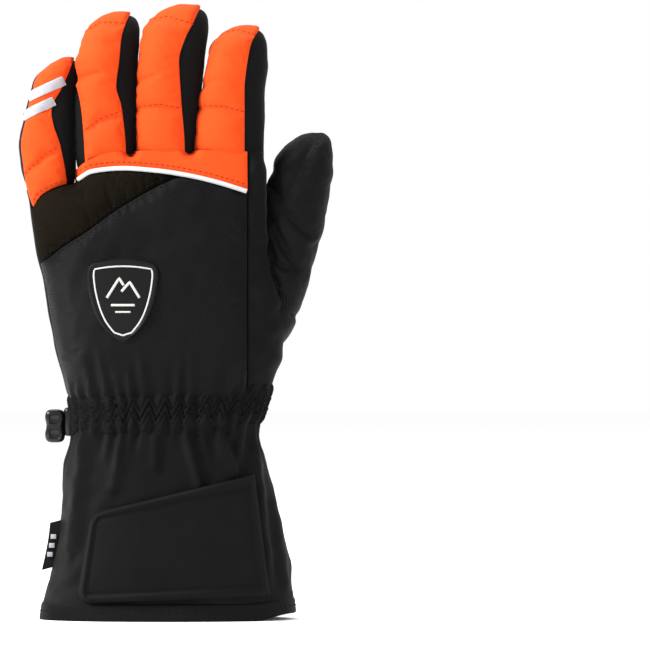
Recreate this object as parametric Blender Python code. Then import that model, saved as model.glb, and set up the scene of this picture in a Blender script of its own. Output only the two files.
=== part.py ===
"""Left-hand insulated ski glove, standing on its hem: fingers up, back of the hand towards -Y."""

import math

import bmesh
import bpy

MM = 0.001
CENTRE = (1.13, -2.19)  # middle of the finished glove's box in x and y, mm: it moves to the origin
GAP = 0.4  # between neighbouring panels, mm
RIM_Z, RIM_SLOPE = 215.5, 0.11  # finger bases: z of the hand's top edge at x = 0, and its rise per mm
HEM_Z, CUFF_TOP, HAND_BOTTOM = 3.0, 90.4, 107.2
# layers, as inward offsets from the outer surface
PANEL, SKIN, WADDING, LINING = (0.0, 1.1), (1.5, 2.4), (2.7, 4.9), (5.2, 5.9)
HAND_MEMBRANE, HAND_WADDING = (2.1, 2.6), (2.9, 4.9)
AROUND_FINGER, AROUND_HAND = 12, 24
DOME_ROWS = (0.42, 0.78)

for old in list(bpy.data.objects):
    bpy.data.objects.remove(old)

COLOURS = {
    "orange_ripstop": (0.95, 0.11, 0.02), "black_twill": (0.014, 0.014, 0.015),
    "black_softshell": (0.012, 0.012, 0.013), "olive_grip": (0.017, 0.018, 0.011),
    "reflective_grey": (0.7, 0.68, 0.72), "white_piping": (0.82, 0.82, 0.82),
    "fleece_lining": (0.03, 0.03, 0.032), "wadding": (0.6, 0.6, 0.58),
    "membrane_film": (0.5, 0.53, 0.56), "elastic": (0.02, 0.02, 0.02),
    "rubber": (0.03, 0.03, 0.032), "woven_label": (0.02, 0.02, 0.022),
    "hook_tape": (0.015, 0.015, 0.015), "loop_tape": (0.02, 0.02, 0.02),
    "acetal": (0.01, 0.01, 0.011),
}
ROUGHNESS = {"acetal": 0.35, "rubber": 0.5, "reflective_grey": 0.4}
MATERIALS = {}


def material(slot):
    if slot not in MATERIALS:
        made = bpy.data.materials.new(slot)
        made.use_nodes = True
        shader = made.node_tree.nodes["Principled BSDF"]
        shader.inputs["Base Color"].default_value = (*COLOURS[slot], 1)
        shader.inputs["Roughness"].default_value = ROUGHNESS.get(slot, 0.85)
        MATERIALS[slot] = made
    return MATERIALS[slot]


def solid(name, slot, points, faces):
    """One closed mesh object from points in mm."""
    mesh = bpy.data.meshes.new(name)
    mesh.from_pydata([[c * MM for c in p] for p in points], [], faces)
    work = bmesh.new()
    work.from_mesh(mesh)
    bmesh.ops.recalc_face_normals(work, faces=work.faces)
    bmesh.ops.triangulate(work, faces=work.faces)
    work.to_mesh(mesh)
    work.free()
    mesh.materials.append(material(slot))
    made = bpy.data.objects.new(name, mesh)
    bpy.context.scene.collection.objects.link(made)
    return made


class Limb:
    """A tube of level sections. Each station is (z, x left, x right, y back, y palm, squareness)."""

    def __init__(self, stations, dome=0.0, foot=(0.0, 0.0), head=(0.0, 0.0), lean=0.0):
        self.stations, self.dome, self.lean = stations, dome, lean
        self.foot, self.head = foot, head  # slope of the lowest and highest edge, and the x it turns about

    def rows(self, z0=None, z1=None):
        """Station numbers, with the two cut heights between them as fractions."""
        first = 0.0 if z0 is None else self.row_at(z0)
        last = len(self.stations) - 1.0 if z1 is None else self.row_at(z1)
        inner = [float(i) for i in range(len(self.stations)) if first + 0.02 < i < last - 0.02]
        return [first, *inner, last]

    def row_at(self, z):
        levels = [s[0] for s in self.stations]
        for i, (low, high) in enumerate(zip(levels, levels[1:])):
            if z <= high:
                return i + (z - low) / (high - low)
        return len(levels) - 1.0

    def section(self, row):
        i = min(int(row), len(self.stations) - 2)
        t = row - i
        low, high = self.stations[i], self.stations[i + 1]
        z, left, right, back, palm, square = (a + (b - a) * t for a, b in zip(low, high))
        return z, (left + right) / 2, (back + palm) / 2, (right - left) / 2, (palm - back) / 2, square

    def point(self, angle, row, inset):
        last = len(self.stations) - 1.0
        z, cx, cy, a, b, square = self.section(min(row, last))
        c, s = math.cos(angle), math.sin(angle)
        fx = math.copysign(abs(c) ** (2 / square), c)
        fy = math.copysign(abs(s) ** (2 / square), s)
        if row > last:
            phi = (row - last) * math.pi / 2
            rise = (self.dome - inset) * math.sin(phi)
            shrink = math.cos(phi)
            x = cx + self.lean * rise + (a - inset) * fx * shrink
            return x, cy + (b - inset) * fy * shrink, z + rise
        x, y = cx + (a - inset) * fx, cy + (b - inset) * fy
        share = row / last
        z += self.foot[0] * (x - self.foot[1]) * (1 - share) ** 2
        z += self.head[0] * (x - self.head[1]) * share ** 3
        return x, y, z

    def on_face(self, x, z, inset, side=-1):
        """The point at x and nominal height z on the back (-1) or the palm (1)."""
        row = self.row_at(z)
        _, cx, cy, a, b, square = self.section(row)
        across = min(abs(x - cx) / (a - inset), 1.0)
        y = cy + side * (b - inset) * (1 - across ** square) ** (1 / square)
        share = row / (len(self.stations) - 1.0)
        return x, y, z + self.head[0] * (x - self.head[1]) * share ** 3

    def angle_at(self, x, row, side=-1):
        _, cx, _, a, _, square = self.section(min(row, len(self.stations) - 1.0))
        across = max(-1.0, min(1.0, (x - cx) / a))
        return side * math.acos(math.copysign(abs(across) ** (square / 2), across))


def tube(name, slot, limb, rows, layer, around, closed=False):
    """A sleeve wall around the whole limb, open at both ends or closed by the dome at the top."""
    points, faces = [], []
    walls = []
    for inset in layer:
        rings = []
        for row in rows:
            rings.append(range(len(points), len(points) + around))
            points += [limb.point(2 * math.pi * k / around, row, inset) for k in range(around)]
        if closed:
            top = len(limb.stations) - 1.0
            for share in DOME_ROWS:
                rings.append(range(len(points), len(points) + around))
                points += [limb.point(2 * math.pi * k / around, top + share, inset) for k in range(around)]
            points.append(limb.point(0.0, top + 1.0, inset))
        walls.append(rings)
        for low, high in zip(rings, rings[1:]):
            for k in range(around):
                n = (k + 1) % around
                faces.append((low[k], low[n], high[n], high[k]))
        if closed:
            for k in range(around):
                faces.append((rings[-1][k], rings[-1][(k + 1) % around], len(points) - 1))
    for outer, inner in [(walls[0][0], walls[1][0])] + ([] if closed else [(walls[0][-1], walls[1][-1])]):
        for k in range(around):
            n = (k + 1) % around
            faces.append((outer[k], outer[n], inner[n], inner[k]))
    return solid(name, slot, points, faces)


def slab(name, slot, grids):
    """A closed sheet between two grids of points with the same rows and columns."""
    tall, wide = len(grids[0]), len(grids[0][0])
    points = [p for grid in grids for row in grid for p in row]

    def at(layer, i, j):
        return layer * tall * wide + i * wide + j

    faces = []
    for layer in (0, 1):
        for i in range(tall - 1):
            for j in range(wide - 1):
                corners = (i, j), (i, j + 1), (i + 1, j + 1), (i + 1, j)
                faces.append(tuple(at(layer, *corner) for corner in corners))
    rim = [(0, j) for j in range(wide)] + [(i, wide - 1) for i in range(1, tall)]
    rim += [(tall - 1, j) for j in range(wide - 2, -1, -1)] + [(i, 0) for i in range(tall - 2, 0, -1)]
    for (i, j), (m, n) in zip(rim, rim[1:] + rim[:1]):
        faces.append((at(0, i, j), at(0, m, n), at(1, m, n), at(1, i, j)))
    return solid(name, slot, points, faces)


def wrap(name, slot, limb, start, stop, rows, layer, columns):
    """A panel between two angles, each a function of the row."""
    grids = []
    for inset in layer:
        grid = []
        for row in rows:
            a, b = start(row), stop(row)
            grid.append([limb.point(a + (b - a) * j / columns, row, inset) for j in range(columns + 1)])
        grids.append(grid)
    return slab(name, slot, grids)


def facing(name, slot, limb, sides, low, high, layer, shape, side=-1):
    """A panel on the back or the palm, between two x limits (functions of z) and two heights (of x)."""
    left, right = sides
    columns, rows = shape
    places = []
    for i in range(rows + 1):
        z = HAND_BOTTOM
        for j in range(columns + 1):
            for _ in range(6):
                x = left(z) + (right(z) - left(z)) * j / columns
                z = low(x) + (high(x) - low(x)) * i / rows
            places.append((x, z))
    grids = []
    for inset in layer:
        flat = [limb.on_face(x, z, inset, side) for x, z in places]
        grids.append([flat[i * (columns + 1):(i + 1) * (columns + 1)] for i in range(rows + 1)])
    return slab(name, slot, grids)


def level(value):
    return lambda _: value


def edge_of(limb, share, beyond=0.0):
    """x of the given share of the half-width from the centre, at a height."""
    def at(z):
        _, cx, _, a, _, _ = limb.section(limb.row_at(z))
        return cx + share * a + beyond
    return at


def spread(start, stop, count):
    return [start + (stop - start) * k / count for k in range(count + 1)]


def line(*knots):
    """Straight lines through (x, z) knots."""
    def height(x):
        for (x0, z0), (x1, z1) in zip(knots, knots[1:]):
            if x <= x1 or (x1, z1) == knots[-1]:
                return z0 + (z1 - z0) * (x - x0) / (x1 - x0)
    return height


CUFF = Limb([
    (0, -63.5, 57, -29, 29, 2.5), (24, -58.5, 55.5, -28.5, 28.5, 2.5), (46, -54.8, 51.4, -27, 27, 2.5),
    (61, -52.8, 48, -26, 26, 2.5), (77, -51, 43.6, -25, 25, 2.5), (CUFF_TOP, -48.2, 40, -24.5, 24.5, 2.5),
    (98, -47.6, 42.2, -24.5, 24.5, 2.5), (HAND_BOTTOM, -50.6, 45, -25, 25, 2.5),
])
HAND = Limb([
    (HAND_BOTTOM, -50.6, 45, -25, 25, 2.5), (129, -56.5, 52, -25.5, 25.5, 2.6),
    (141, -59, 57.6, -25, 25, 2.7), (148.6, -60, 60.4, -24.5, 24.5, 2.8),
    (166, -62.8, 42, -23, 23, 2.9), (180, -66, 41.2, -21, 21, 3.0),
    (196, -69.3, 41.4, -18.4, 18.4, 3.2), (207, -72, 42.6, -15.9, 15.9, 3.5),
    (RIM_Z, -73.4, 43.6, -14, 14, 3.8),
], head=(RIM_SLOPE, 0.0))

# finger stations above its base: (height above the base, x left, x right, y back, y palm)
FINGERS = {
    "pinky": dict(at=-61, dome=13, lean=0.45, body=[
        (0, -73.2, -48.6, -12.8, 12.8), (15, -73.4, -48.4, -12.6, 12.8), (30, -70, -47.4, -12, 12.8),
        (44, -66.4, -46.9, -11, 12.6)]),
    "ring": dict(at=-32.4, dome=14, lean=0.1, body=[
        (0, -46.2, -19.4, -13.6, 13.4), (18, -45.6, -19.2, -13.8, 13.6), (40, -45.8, -18.6, -13.6, 14.2),
        (60, -45.4, -18.4, -12.4, 14.6)]),
    "middle": dict(at=-3.6, dome=14, lean=0.12, body=[
        (0, -18.2, 11.6, -13.8, 13.4), (18, -17.8, 12.2, -14, 13.6), (42, -17.8, 12.8, -13.8, 14.4),
        (60.5, -16.6, 12.8, -12.6, 14.8)]),
    "index": dict(at=28.4, dome=13.5, lean=0.15, body=[
        (0, 13.2, 43.6, -13.6, 13.4), (16, 13.6, 43.4, -13.8, 13.6), (32, 14.4, 43.2, -13.4, 14.2),
        (48, 15.8, 43.8, -12.4, 14.6)]),
}
THUMB = Limb([
    (158.2, 43.4, 64, -4.5, 21.4, 2.4), (168, 43, 67.2, -5, 21.6, 2.3), (180, 42.6, 69.6, -5.4, 21.6, 2.3),
    (196, 42.8, 73, -5.4, 21.6, 2.3), (213, 45.2, 75.6, -5, 21, 2.3),
], dome=16.8, foot=(-0.97, 53.5), lean=0.35)
PIVOT_Y = 14.2  # finger hinges lie in the crease at the palm side
THUMB_PIVOT = (53.5, 21.8, 157.6)
THUMB_GRIP_INSET = 10.0  # from the thumb's outer side to the grip's edge
STRAP_PIVOT = (37.5, -26.8, 12.0)
PIPING = line((-46, 207.4), (-38.5, 209.6), (-24, 210.6), (-9, 210.4), (6, 208.6), (20, 204.2), (34, 198.2))
DIAGONAL = line((-61, 169), (-53, 175), (-40, 183), (-28, 192), (-14, 200.6), (-1, 206.2))
SIDE_SEAM = 34.0
BAND_FROM, SIDE_SHARE, PALM_SHARE = -45.0, 0.86, 0.84
PALM_SEAM = line((-62, 192), (-40, 186), (-10, 176), (20, 168), (36, 165))


def limb_of(spec):
    base = RIM_Z + RIM_SLOPE * spec["at"] + 0.5
    stations = [(base + h, xl, xr, yb, yp, 2.5) for h, xl, xr, yb, yp in spec["body"]]
    return Limb(stations, dome=spec["dome"], foot=(RIM_SLOPE, spec["at"]), lean=spec["lean"])


def half(limb, side, left, right):
    """Two angle functions that leave the given share of the half-width clear at each side."""
    def at(share):
        def angle(row):
            _, cx, _, a, _, _ = limb.section(min(row, len(limb.stations) - 1.0))
            return limb.angle_at(cx + a * share, row, side)
        return angle
    return at(-left), at(right)


def rows_to_dome(limb, first, dome):
    rows = [r for r in limb.rows() if r > first + 0.05]
    top = len(limb.stations) - 1.0
    return [first, *rows, *[top + s for s in DOME_ROWS if s <= dome]]


def finger(name, spec):
    limb = limb_of(spec)
    rows = limb.rows()
    tube(f"{name}_shell", "black_softshell", limb, rows, SKIN, AROUND_FINGER, closed=True)
    tube(f"{name}_wadding", "wadding", limb, rows, WADDING, AROUND_FINGER, closed=True)
    tube(f"{name}_lining", "fleece_lining", limb, rows, LINING, AROUND_FINGER, closed=True)
    wrap(f"{name}_back_pad", "orange_ripstop", limb, *half(limb, -1, 0.86, 0.62),
         rows_to_dome(limb, 0.0, 0.7), PANEL, 8)
    wrap(f"{name}_grip", "olive_grip", limb, *half(limb, 1, 0.8, 0.8),
         rows_to_dome(limb, 1.0, 0.4), PANEL, 8)
    return limb


def fingers():
    for name, spec in FINGERS.items():
        limb = finger(name, spec)
        if name == "pinky":
            for number, (low, high) in enumerate(((2.18, 2.5), (2.72, 3.0)), 1):
                wrap(f"pinky_stripe_{number}", "reflective_grey", limb, *half(limb, -1, 0.84, 0.56),
                     [low, high], (-0.8, -0.4), 8)


def thumb():
    rows = THUMB.rows()
    tube("thumb_shell", "black_softshell", THUMB, rows, SKIN, AROUND_FINGER, closed=True)
    tube("thumb_wadding", "wadding", THUMB, rows, (2.7, 4.2), AROUND_FINGER, closed=True)
    tube("thumb_lining", "fleece_lining", THUMB, rows, (4.5, 5.1), AROUND_FINGER, closed=True)
    wrap("thumb_back_panel", "black_twill", THUMB, *half(THUMB, -1, 0.1, 0.97),
         rows_to_dome(THUMB, 0.0, 0.7), PANEL, 8)
    top = len(THUMB.stations) - 1.0

    def grip_edge(row):
        _, cx, _, a, _, _ = THUMB.section(min(row, top))
        return THUMB.angle_at(cx + a - THUMB_GRIP_INSET, row, 1) - 2 * math.pi

    wrap("thumb_grip", "olive_grip", THUMB, level(-math.pi - 0.1), grip_edge,
         rows_to_dome(THUMB, 1.0, 0.7), PANEL, 8)


def hole_for_thumb():
    """The round passage from the hand into the thumb, cut through every hand layer."""
    bpy.ops.mesh.primitive_cylinder_add(vertices=20, radius=1, depth=1)
    cutter = bpy.context.object
    cutter.name = "thumb_passage"
    cutter.scale = (5.2 * MM, 7.6 * MM, 46 * MM)
    cutter.location = (53.6 * MM, 8.4 * MM, 159 * MM)
    cutter.rotation_euler = (0, math.radians(8), 0)
    helper(cutter)
    return cutter


def pierce(piece, cutter, operation="DIFFERENCE"):
    cut = piece.modifiers.new(cutter.name, "BOOLEAN")
    cut.operation, cut.solver, cut.object = operation, "EXACT", cutter


def hand():
    cutter = hole_for_thumb()
    rows = HAND.rows()
    for name, slot, layer in (("membrane", "membrane_film", HAND_MEMBRANE),
                              ("hand_wadding", "wadding", HAND_WADDING),
                              ("hand_lining", "fleece_lining", LINING)):
        pierce(tube(name, slot, HAND, rows, layer, AROUND_HAND), cutter)
    left, right = edge_of(HAND, -SIDE_SHARE, 1.3), level(SIDE_SEAM - 1.2)
    facing("hand_back", "black_twill", HAND, (left, right), level(HAND_BOTTOM),
           lambda x: (PIPING(x) if x > -1 else DIAGONAL(x)) - 1.7, PANEL, (12, 8))
    facing("knuckle_panel", "olive_grip", HAND, (left, level(-3.4)), lambda x: DIAGONAL(x) + 0.3,
           lambda x: PIPING(max(x, -46)) - 0.9, PANEL, (9, 3))
    facing("orange_band", "orange_ripstop", HAND, (level(BAND_FROM), right),
           lambda x: PIPING(x) + 0.6, level(RIM_Z), PANEL, (10, 2))
    side_strips(cutter)
    palm()
    piping()
    badge()


def side_strips(cutter):
    rows = HAND.rows()

    def at(share, side):
        return lambda row: HAND.angle_at(HAND.section(row)[1] + share * HAND.section(row)[3], row, side)

    right = wrap("index_side", "black_softshell", HAND, lambda r: HAND.angle_at(SIDE_SEAM + GAP / 2, r),
                 lambda r: HAND.angle_at(38.0, r, 1), rows, (-0.3, 0.7), 14)
    pierce(right, cutter)
    start, stop = at(-SIDE_SHARE, -1), at(-PALM_SHARE, 1)
    wrap("pinky_side", "black_softshell", HAND, start, lambda r: stop(r) - 2 * math.pi, rows, PANEL, 8)


def palm():
    sides = (edge_of(HAND, -PALM_SHARE, 1.3), level(36.6))
    facing("palm_grip", "olive_grip", HAND, sides, level(HAND_BOTTOM), lambda x: PALM_SEAM(x) - GAP,
           PANEL, (12, 6), 1)
    facing("palm_stretch", "black_softshell", HAND, sides, lambda x: PALM_SEAM(x) + GAP, level(RIM_Z),
           PANEL, (12, 3), 1)


def piping():
    """A thin covered cord along the lower edge of the orange band."""
    radius, sides = 1.1, 6
    xs = spread(-45.5, SIDE_SEAM - 0.6, 14)
    points, faces = [], []
    for x in xs:
        cx, cy, cz = HAND.on_face(x, PIPING(x), 0.0)
        for k in range(sides):
            turn = 2 * math.pi * k / sides
            points.append((cx, cy - radius - 0.35 + radius * math.cos(turn), cz + radius * math.sin(turn)))
    for i in range(len(xs) - 1):
        for k in range(sides):
            n = (k + 1) % sides
            faces.append((i * sides + k, i * sides + n, (i + 1) * sides + n, (i + 1) * sides + k))
    faces += [tuple(range(sides)), tuple(range(len(points) - sides, len(points)))]
    solid("piping", "white_piping", points, faces)


def badge():
    """A shield of moulded rubber, laid on the back panel."""
    cx, cz, wide, tall = -23.4, 152.0, 17.0, 17.0
    outline = []
    for k in range(9):
        outline.append((cx + wide - 2 * wide * k / 8, cz + tall - 1.2 * (1 - math.cos(math.pi * k / 4)) / 2))
    for k in range(1, 12):
        t = math.pi * k / 12
        drop = 28.5 * math.sin(t) * (0.5 + 0.5 * math.sin(t))
        outline.append((cx - wide * math.cos(t), cz + tall - 8 - drop))
    points, faces = [], []
    for inset in (-0.5, -2.0):
        start = len(points)
        points.append(HAND.on_face(cx, cz, inset))
        points += [HAND.on_face(x, z, inset) for x, z in outline]
        count = len(outline)
        for k in range(count):
            faces.append((start, start + 1 + k, start + 1 + (k + 1) % count))
    for k in range(count):
        n = (k + 1) % count
        faces.append((1 + k, 1 + n, 2 + count + n, 2 + count + k))
    solid("badge", "rubber", points, faces)


def wrist():
    rows = CUFF.rows(CUFF_TOP + 0.4, HAND_BOTTOM - 0.4)
    tube("wrist_gaiter", "black_twill", CUFF, rows, (0.0, 1.1), AROUND_HAND)
    tube("wrist_elastic", "elastic", CUFF, CUFF.rows(92.5, 105), (2.0, 3.0), AROUND_HAND)
    tube("wrist_lining", "fleece_lining", CUFF, rows, LINING, AROUND_HAND)


def cuff():
    rows = CUFF.rows(HEM_Z + 0.4, CUFF_TOP)
    tube("cuff_shell", "black_twill", CUFF, rows, (0.0, 1.1), AROUND_HAND)
    tube("cuff_wadding", "wadding", CUFF, rows, (1.5, 4.8), AROUND_HAND)
    tube("cuff_lining", "fleece_lining", CUFF, rows, LINING, AROUND_HAND)
    tube("hem_binding", "black_twill", CUFF, CUFF.rows(0, HEM_Z), (0.0, 5.9), AROUND_HAND)


STRAP_LOW = line((-44, 9.6), (45, 12.2))
STRAP_HIGH = line((-44, 38), (-40, 48), (-33.5, 52.6), (38, 69.5), (45, 71))


def strap():
    facing("loop_patch", "loop_tape", CUFF, (level(-42), level(2)), level(13.0), level(46.0),
           (-1.3, -0.45), (8, 3))
    facing("hook_patch", "hook_tape", CUFF, (level(-40), level(-23)), level(15.0), level(44.0),
           (-2.6, -1.8), (5, 3))
    facing("strap", "black_twill", CUFF, (level(-44), level(37.2)), STRAP_LOW, STRAP_HIGH,
           (-4.6, -3.0), (14, 4))
    facing("strap_anchor", "black_twill", CUFF, (level(38.2), level(42.8)), STRAP_LOW,
           lambda x: 69.5 - (x - 38.2) * 7, (-1.7, -0.5), (3, 4))


def label():
    """A folded woven loop label sewn into the side of the cuff."""
    grids = []
    for y in (-0.7, 0.7):
        grids.append([[(CUFF.point(math.pi, CUFF.row_at(z), 0.0)[0] - 0.4 - 4.6 * j, y, z) for j in range(2)]
                      for z in (24.6, 32, 40, 47)])
    slab("label", "woven_label", grids)


CLIP_X, CLIP_Z = -53.2, 91.4  # the bar that the loop goes round
CLIP_REACH, CLIP_HALF, CLIP_THICK = 8.0, 7.2, 6.6


def clip():
    """The socket half of a small side-release buckle, with its mouth towards -X, on a webbing loop."""
    back, half, deep = CLIP_X - 2.6, CLIP_HALF, CLIP_THICK / 2
    socket = box("clip_socket", (CLIP_X - CLIP_REACH, -deep, CLIP_Z - half), (back, deep, CLIP_Z + half))
    hollow = box("clip_hollow", (CLIP_X - CLIP_REACH - 2, 0.9 - deep, CLIP_Z - half + 1.6),
                 (back - 1.0, deep - 0.9, CLIP_Z + half - 1.6))
    window = box("clip_windows", (CLIP_X - 6.4, 1.2 - deep, CLIP_Z - half - 1),
                 (CLIP_X - 4.4, deep - 1.2, CLIP_Z + half + 1))
    for cutter in (hollow, window):
        pierce(socket, cutter)
        helper(cutter)
    for number, side in enumerate((-1, 1)):
        ends = sorted((CLIP_Z + side * (half - 1.6), CLIP_Z + side * (half - 0.02)))
        ear = box(f"clip_ear_{number}", (back - 0.6, -1.8, ends[0]), (CLIP_X + 1.1, 1.8, ends[1]))
        pierce(socket, ear, "UNION")
        helper(ear)
    bpy.ops.mesh.primitive_cylinder_add(vertices=10, radius=1.1 * MM, depth=(2 * half - 1.8) * MM,
                                        location=(CLIP_X * MM, 0, CLIP_Z * MM))
    bar = bpy.context.object
    bar.name = "clip_bar"
    pierce(socket, bar, "UNION")
    helper(bar)
    webbing()


def helper(piece):
    piece.hide_render = True
    piece.display_type = "WIRE"


def box(name, low, high):
    points = [(x, y, z) for x in (low[0], high[0]) for y in (low[1], high[1]) for z in (low[2], high[2])]
    faces = [(0, 1, 3, 2), (4, 6, 7, 5), (0, 4, 5, 1), (2, 3, 7, 6), (0, 2, 6, 4), (1, 5, 7, 3)]
    return solid(name, "acetal", points, faces)


def webbing():
    """A flat elastic loop in plan: in from the cuff, round the bar, and back."""
    plan = []
    for radius in (1.5, 2.3):
        turn = [math.pi * k / 8 for k in range(9)]
        path = [(CLIP_X - radius * math.sin(t), radius * math.cos(t)) for t in turn]
        plan.append([(-48.9, radius), *path, (-48.9, -radius)])
    grids = [[[(x, y, z) for x, y in path] for path in plan] for z in (CLIP_Z - 5.2, CLIP_Z + 5.2)]
    slab("clip_loop", "elastic", grids)


def finger_pivot(name):
    at = FINGERS[name]["at"]
    return at, PIVOT_Y, RIM_Z + RIM_SLOPE * at + 0.25


def pivots():
    """Each moving body hangs on an empty that lies on its joint's axis."""
    places = {
        "hand": ((0, 0, (CUFF_TOP + HAND_BOTTOM) / 2),
                 ("hand_", "membrane", "knuckle_panel", "orange_band", "piping", "badge", "index_side",
                  "pinky_side", "palm_")),
        "strap": (STRAP_PIVOT, ("strap", "hook_patch")),
        "clip": ((CLIP_X, 0, CLIP_Z), ("clip_socket",)),
        "thumb": (THUMB_PIVOT, ("thumb_",)),
    }
    places |= {name: (finger_pivot(name), (name + "_",)) for name in FINGERS}
    empties = {}
    for body, (where, _) in places.items():
        empty = bpy.data.objects.new(f"{body}_joint", None)
        empty.location = [c * MM for c in where]
        bpy.context.scene.collection.objects.link(empty)
        empties[body] = empty
    bpy.context.view_layer.update()
    held = ("strap_anchor", "index_side", "pinky_side")
    for piece in [o for o in bpy.data.objects if o.type == "MESH"]:
        for body, (_, starts) in places.items():
            if piece.name.startswith(starts) and not (piece.name in held and body != "hand"):
                attach(piece, empties[body])
                break
    for body in (*FINGERS, "thumb"):
        attach(empties[body], empties["hand"])
    for loose in [o for o in bpy.data.objects if o.parent is None]:
        loose.location.x -= CENTRE[0] * MM
        loose.location.y -= CENTRE[1] * MM


def attach(piece, empty):
    piece.parent = empty
    piece.matrix_parent_inverse = empty.matrix_world.inverted()


hand()
fingers()
thumb()
wrist()
cuff()
strap()
label()
clip()
pivots()
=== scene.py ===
import math

import bpy
import bmesh
import numpy as np
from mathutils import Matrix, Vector
from mathutils.bvhtree import BVHTree

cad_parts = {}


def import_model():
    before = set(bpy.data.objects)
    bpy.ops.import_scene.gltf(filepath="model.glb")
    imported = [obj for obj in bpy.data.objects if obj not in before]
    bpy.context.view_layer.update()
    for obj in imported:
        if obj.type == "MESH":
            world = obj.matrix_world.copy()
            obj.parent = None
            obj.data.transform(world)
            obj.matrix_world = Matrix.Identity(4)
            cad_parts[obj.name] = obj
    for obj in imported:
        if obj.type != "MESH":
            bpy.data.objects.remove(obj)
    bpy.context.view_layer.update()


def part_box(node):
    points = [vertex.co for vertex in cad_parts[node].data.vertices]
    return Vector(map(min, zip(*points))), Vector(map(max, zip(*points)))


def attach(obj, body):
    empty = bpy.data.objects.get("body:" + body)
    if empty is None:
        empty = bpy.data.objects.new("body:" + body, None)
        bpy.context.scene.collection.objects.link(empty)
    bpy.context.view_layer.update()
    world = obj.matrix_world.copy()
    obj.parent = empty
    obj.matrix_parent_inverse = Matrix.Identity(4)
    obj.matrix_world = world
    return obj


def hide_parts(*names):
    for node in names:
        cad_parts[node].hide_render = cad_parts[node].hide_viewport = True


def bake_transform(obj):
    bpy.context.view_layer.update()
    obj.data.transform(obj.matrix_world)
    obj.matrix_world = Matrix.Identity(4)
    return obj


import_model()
print("frame loaded")

mm = 0.001
hemLow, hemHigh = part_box("hem_binding")
hemMiddle = 3.25  # the hem's middle lies this far to the little-finger side of the glove's middle, mm
origin = np.array([(hemLow.x + hemHigh.x) / 2 + hemMiddle * mm, (hemLow.y + hemHigh.y) / 2, 0.0])


def world(points):
    return np.asarray(points, float) * mm + origin


def deselect():
    bpy.ops.object.select_all(action="DESELECT")


def pick(piece):
    deselect()
    piece.select_set(True)
    bpy.context.view_layer.objects.active = piece


def applyAll(piece):
    pick(piece)
    for modifier in list(piece.modifiers):
        bpy.ops.object.modifier_apply(modifier=modifier.name)


# smooth curve through knots, with no overshoot
def through(*knots):
    xs = np.array([k[0] for k in knots], float)
    ys = np.array([k[1] for k in knots], float)
    step = np.diff(xs)
    rise = np.diff(ys) / step
    slope = np.zeros(len(xs))
    slope[0], slope[-1] = rise[0], rise[-1]
    for i in range(1, len(xs) - 1):
        if rise[i - 1] * rise[i] > 0:
            slope[i] = 2 * rise[i - 1] * rise[i] / (rise[i - 1] + rise[i])

    def at(x):
        x = np.clip(np.asarray(x, float), xs[0], xs[-1])
        i = np.clip(np.searchsorted(xs, x) - 1, 0, len(xs) - 2)
        t = (x - xs[i]) / step[i]
        return ((2 * t**3 - 3 * t**2 + 1) * ys[i] + (t**3 - 2 * t**2 + t) * step[i] * slope[i]
                + (3 * t**2 - 2 * t**3) * ys[i + 1] + (t**3 - t**2) * step[i] * slope[i + 1])
    return at


def fixed(value):
    return lambda x: np.full(np.shape(x), float(value))


def easing(t):
    t = np.clip(t, 0, 1)
    return t * t * (3 - 2 * t)


# soft random waves in two directions, the same each run
def ripple(seed, a, b, size, octaves=3):
    chance = np.random.default_rng(seed)
    total = np.zeros(np.broadcast(a, b).shape)
    for octave in range(octaves):
        for _ in range(4):
            turn, phase = chance.uniform(0, math.pi), chance.uniform(0, 2 * math.pi)
            pitch = size / 1.8**octave * chance.uniform(0.8, 1.25)
            total = total + np.sin((a * math.cos(turn) + b * math.sin(turn)) * 2 * math.pi / pitch
                                   + phase) / 1.7**octave
    return total / 5


body = dict(
    left=through((0, -63.8), (5.8, -62.8), (21.7, -58.6), (43.2, -54.4), (57, -53.3), (73, -52.4),
                 (78.7, -51.0), (86.2, -48.8), (94, -47.8), (100.7, -48.3), (105.8, -50.0), (115.2, -52.2),
                 (122.7, -54.5), (136.7, -57.7), (160, -61.4), (175, -65.0), (198, -68.4), (209, -71.9),
                 (222, -73.4)),
    right=through((0, 57), (6.7, 56.7), (21.7, 56.0), (39.4, 52.2), (47.9, 50.4), (65.6, 46.1),
                  (76.9, 42.9), (85.7, 39.6), (93, 40.4), (103.6, 43.4), (115.7, 46.8), (129.5, 51.0),
                  (138.5, 52.6), (149.9, 49.8), (162, 45.4), (174, 43.2), (200, 42.4), (222, 41.6)),
    back=through((0, 29.0), (24, 28.5), (46, 27.2), (70, 25.6), (86, 24.2), (98, 24.0), (108, 25.2),
                 (130, 26.2), (150, 25.6), (170, 23.6), (190, 20.6), (205, 17.6), (220, 15.0)),
    palm=through((0, 29.0), (24, 28.5), (46, 27.2), (70, 25.6), (86, 24.2), (98, 24.0), (108, 25.2),
                 (130, 26.0), (150, 25.0), (170, 22.6), (190, 19.4), (205, 16.8), (220, 14.6)),
    square=through((0, 2.3), (60, 2.3), (98, 2.4), (130, 2.5), (170, 2.8), (200, 3.4), (214, 5.0),
                   (222, 5.5)),
)
crotches = [dict(x=-47.2, z=205.0), dict(x=-20.2, z=219.0), dict(x=8.0, z=219.8)]


def section(limb, z):
    left, right = limb["left"](z), limb["right"](z)
    if limb is body:
        near, far = -limb["back"](z), limb["palm"](z)
        square = limb["square"](z)
    else:
        near, far = limb["back"](z), limb["palm"](z)
        square = np.full(np.shape(z), 2.45)
    return (left + right) / 2, (near + far) / 2, (right - left) / 2, (far - near) / 2, square


# distance along a line from its start, at each of its points
def lengthsOf(points):
    return np.r_[0, np.cumsum(np.linalg.norm(np.diff(points, axis=0), axis=1))]


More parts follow.
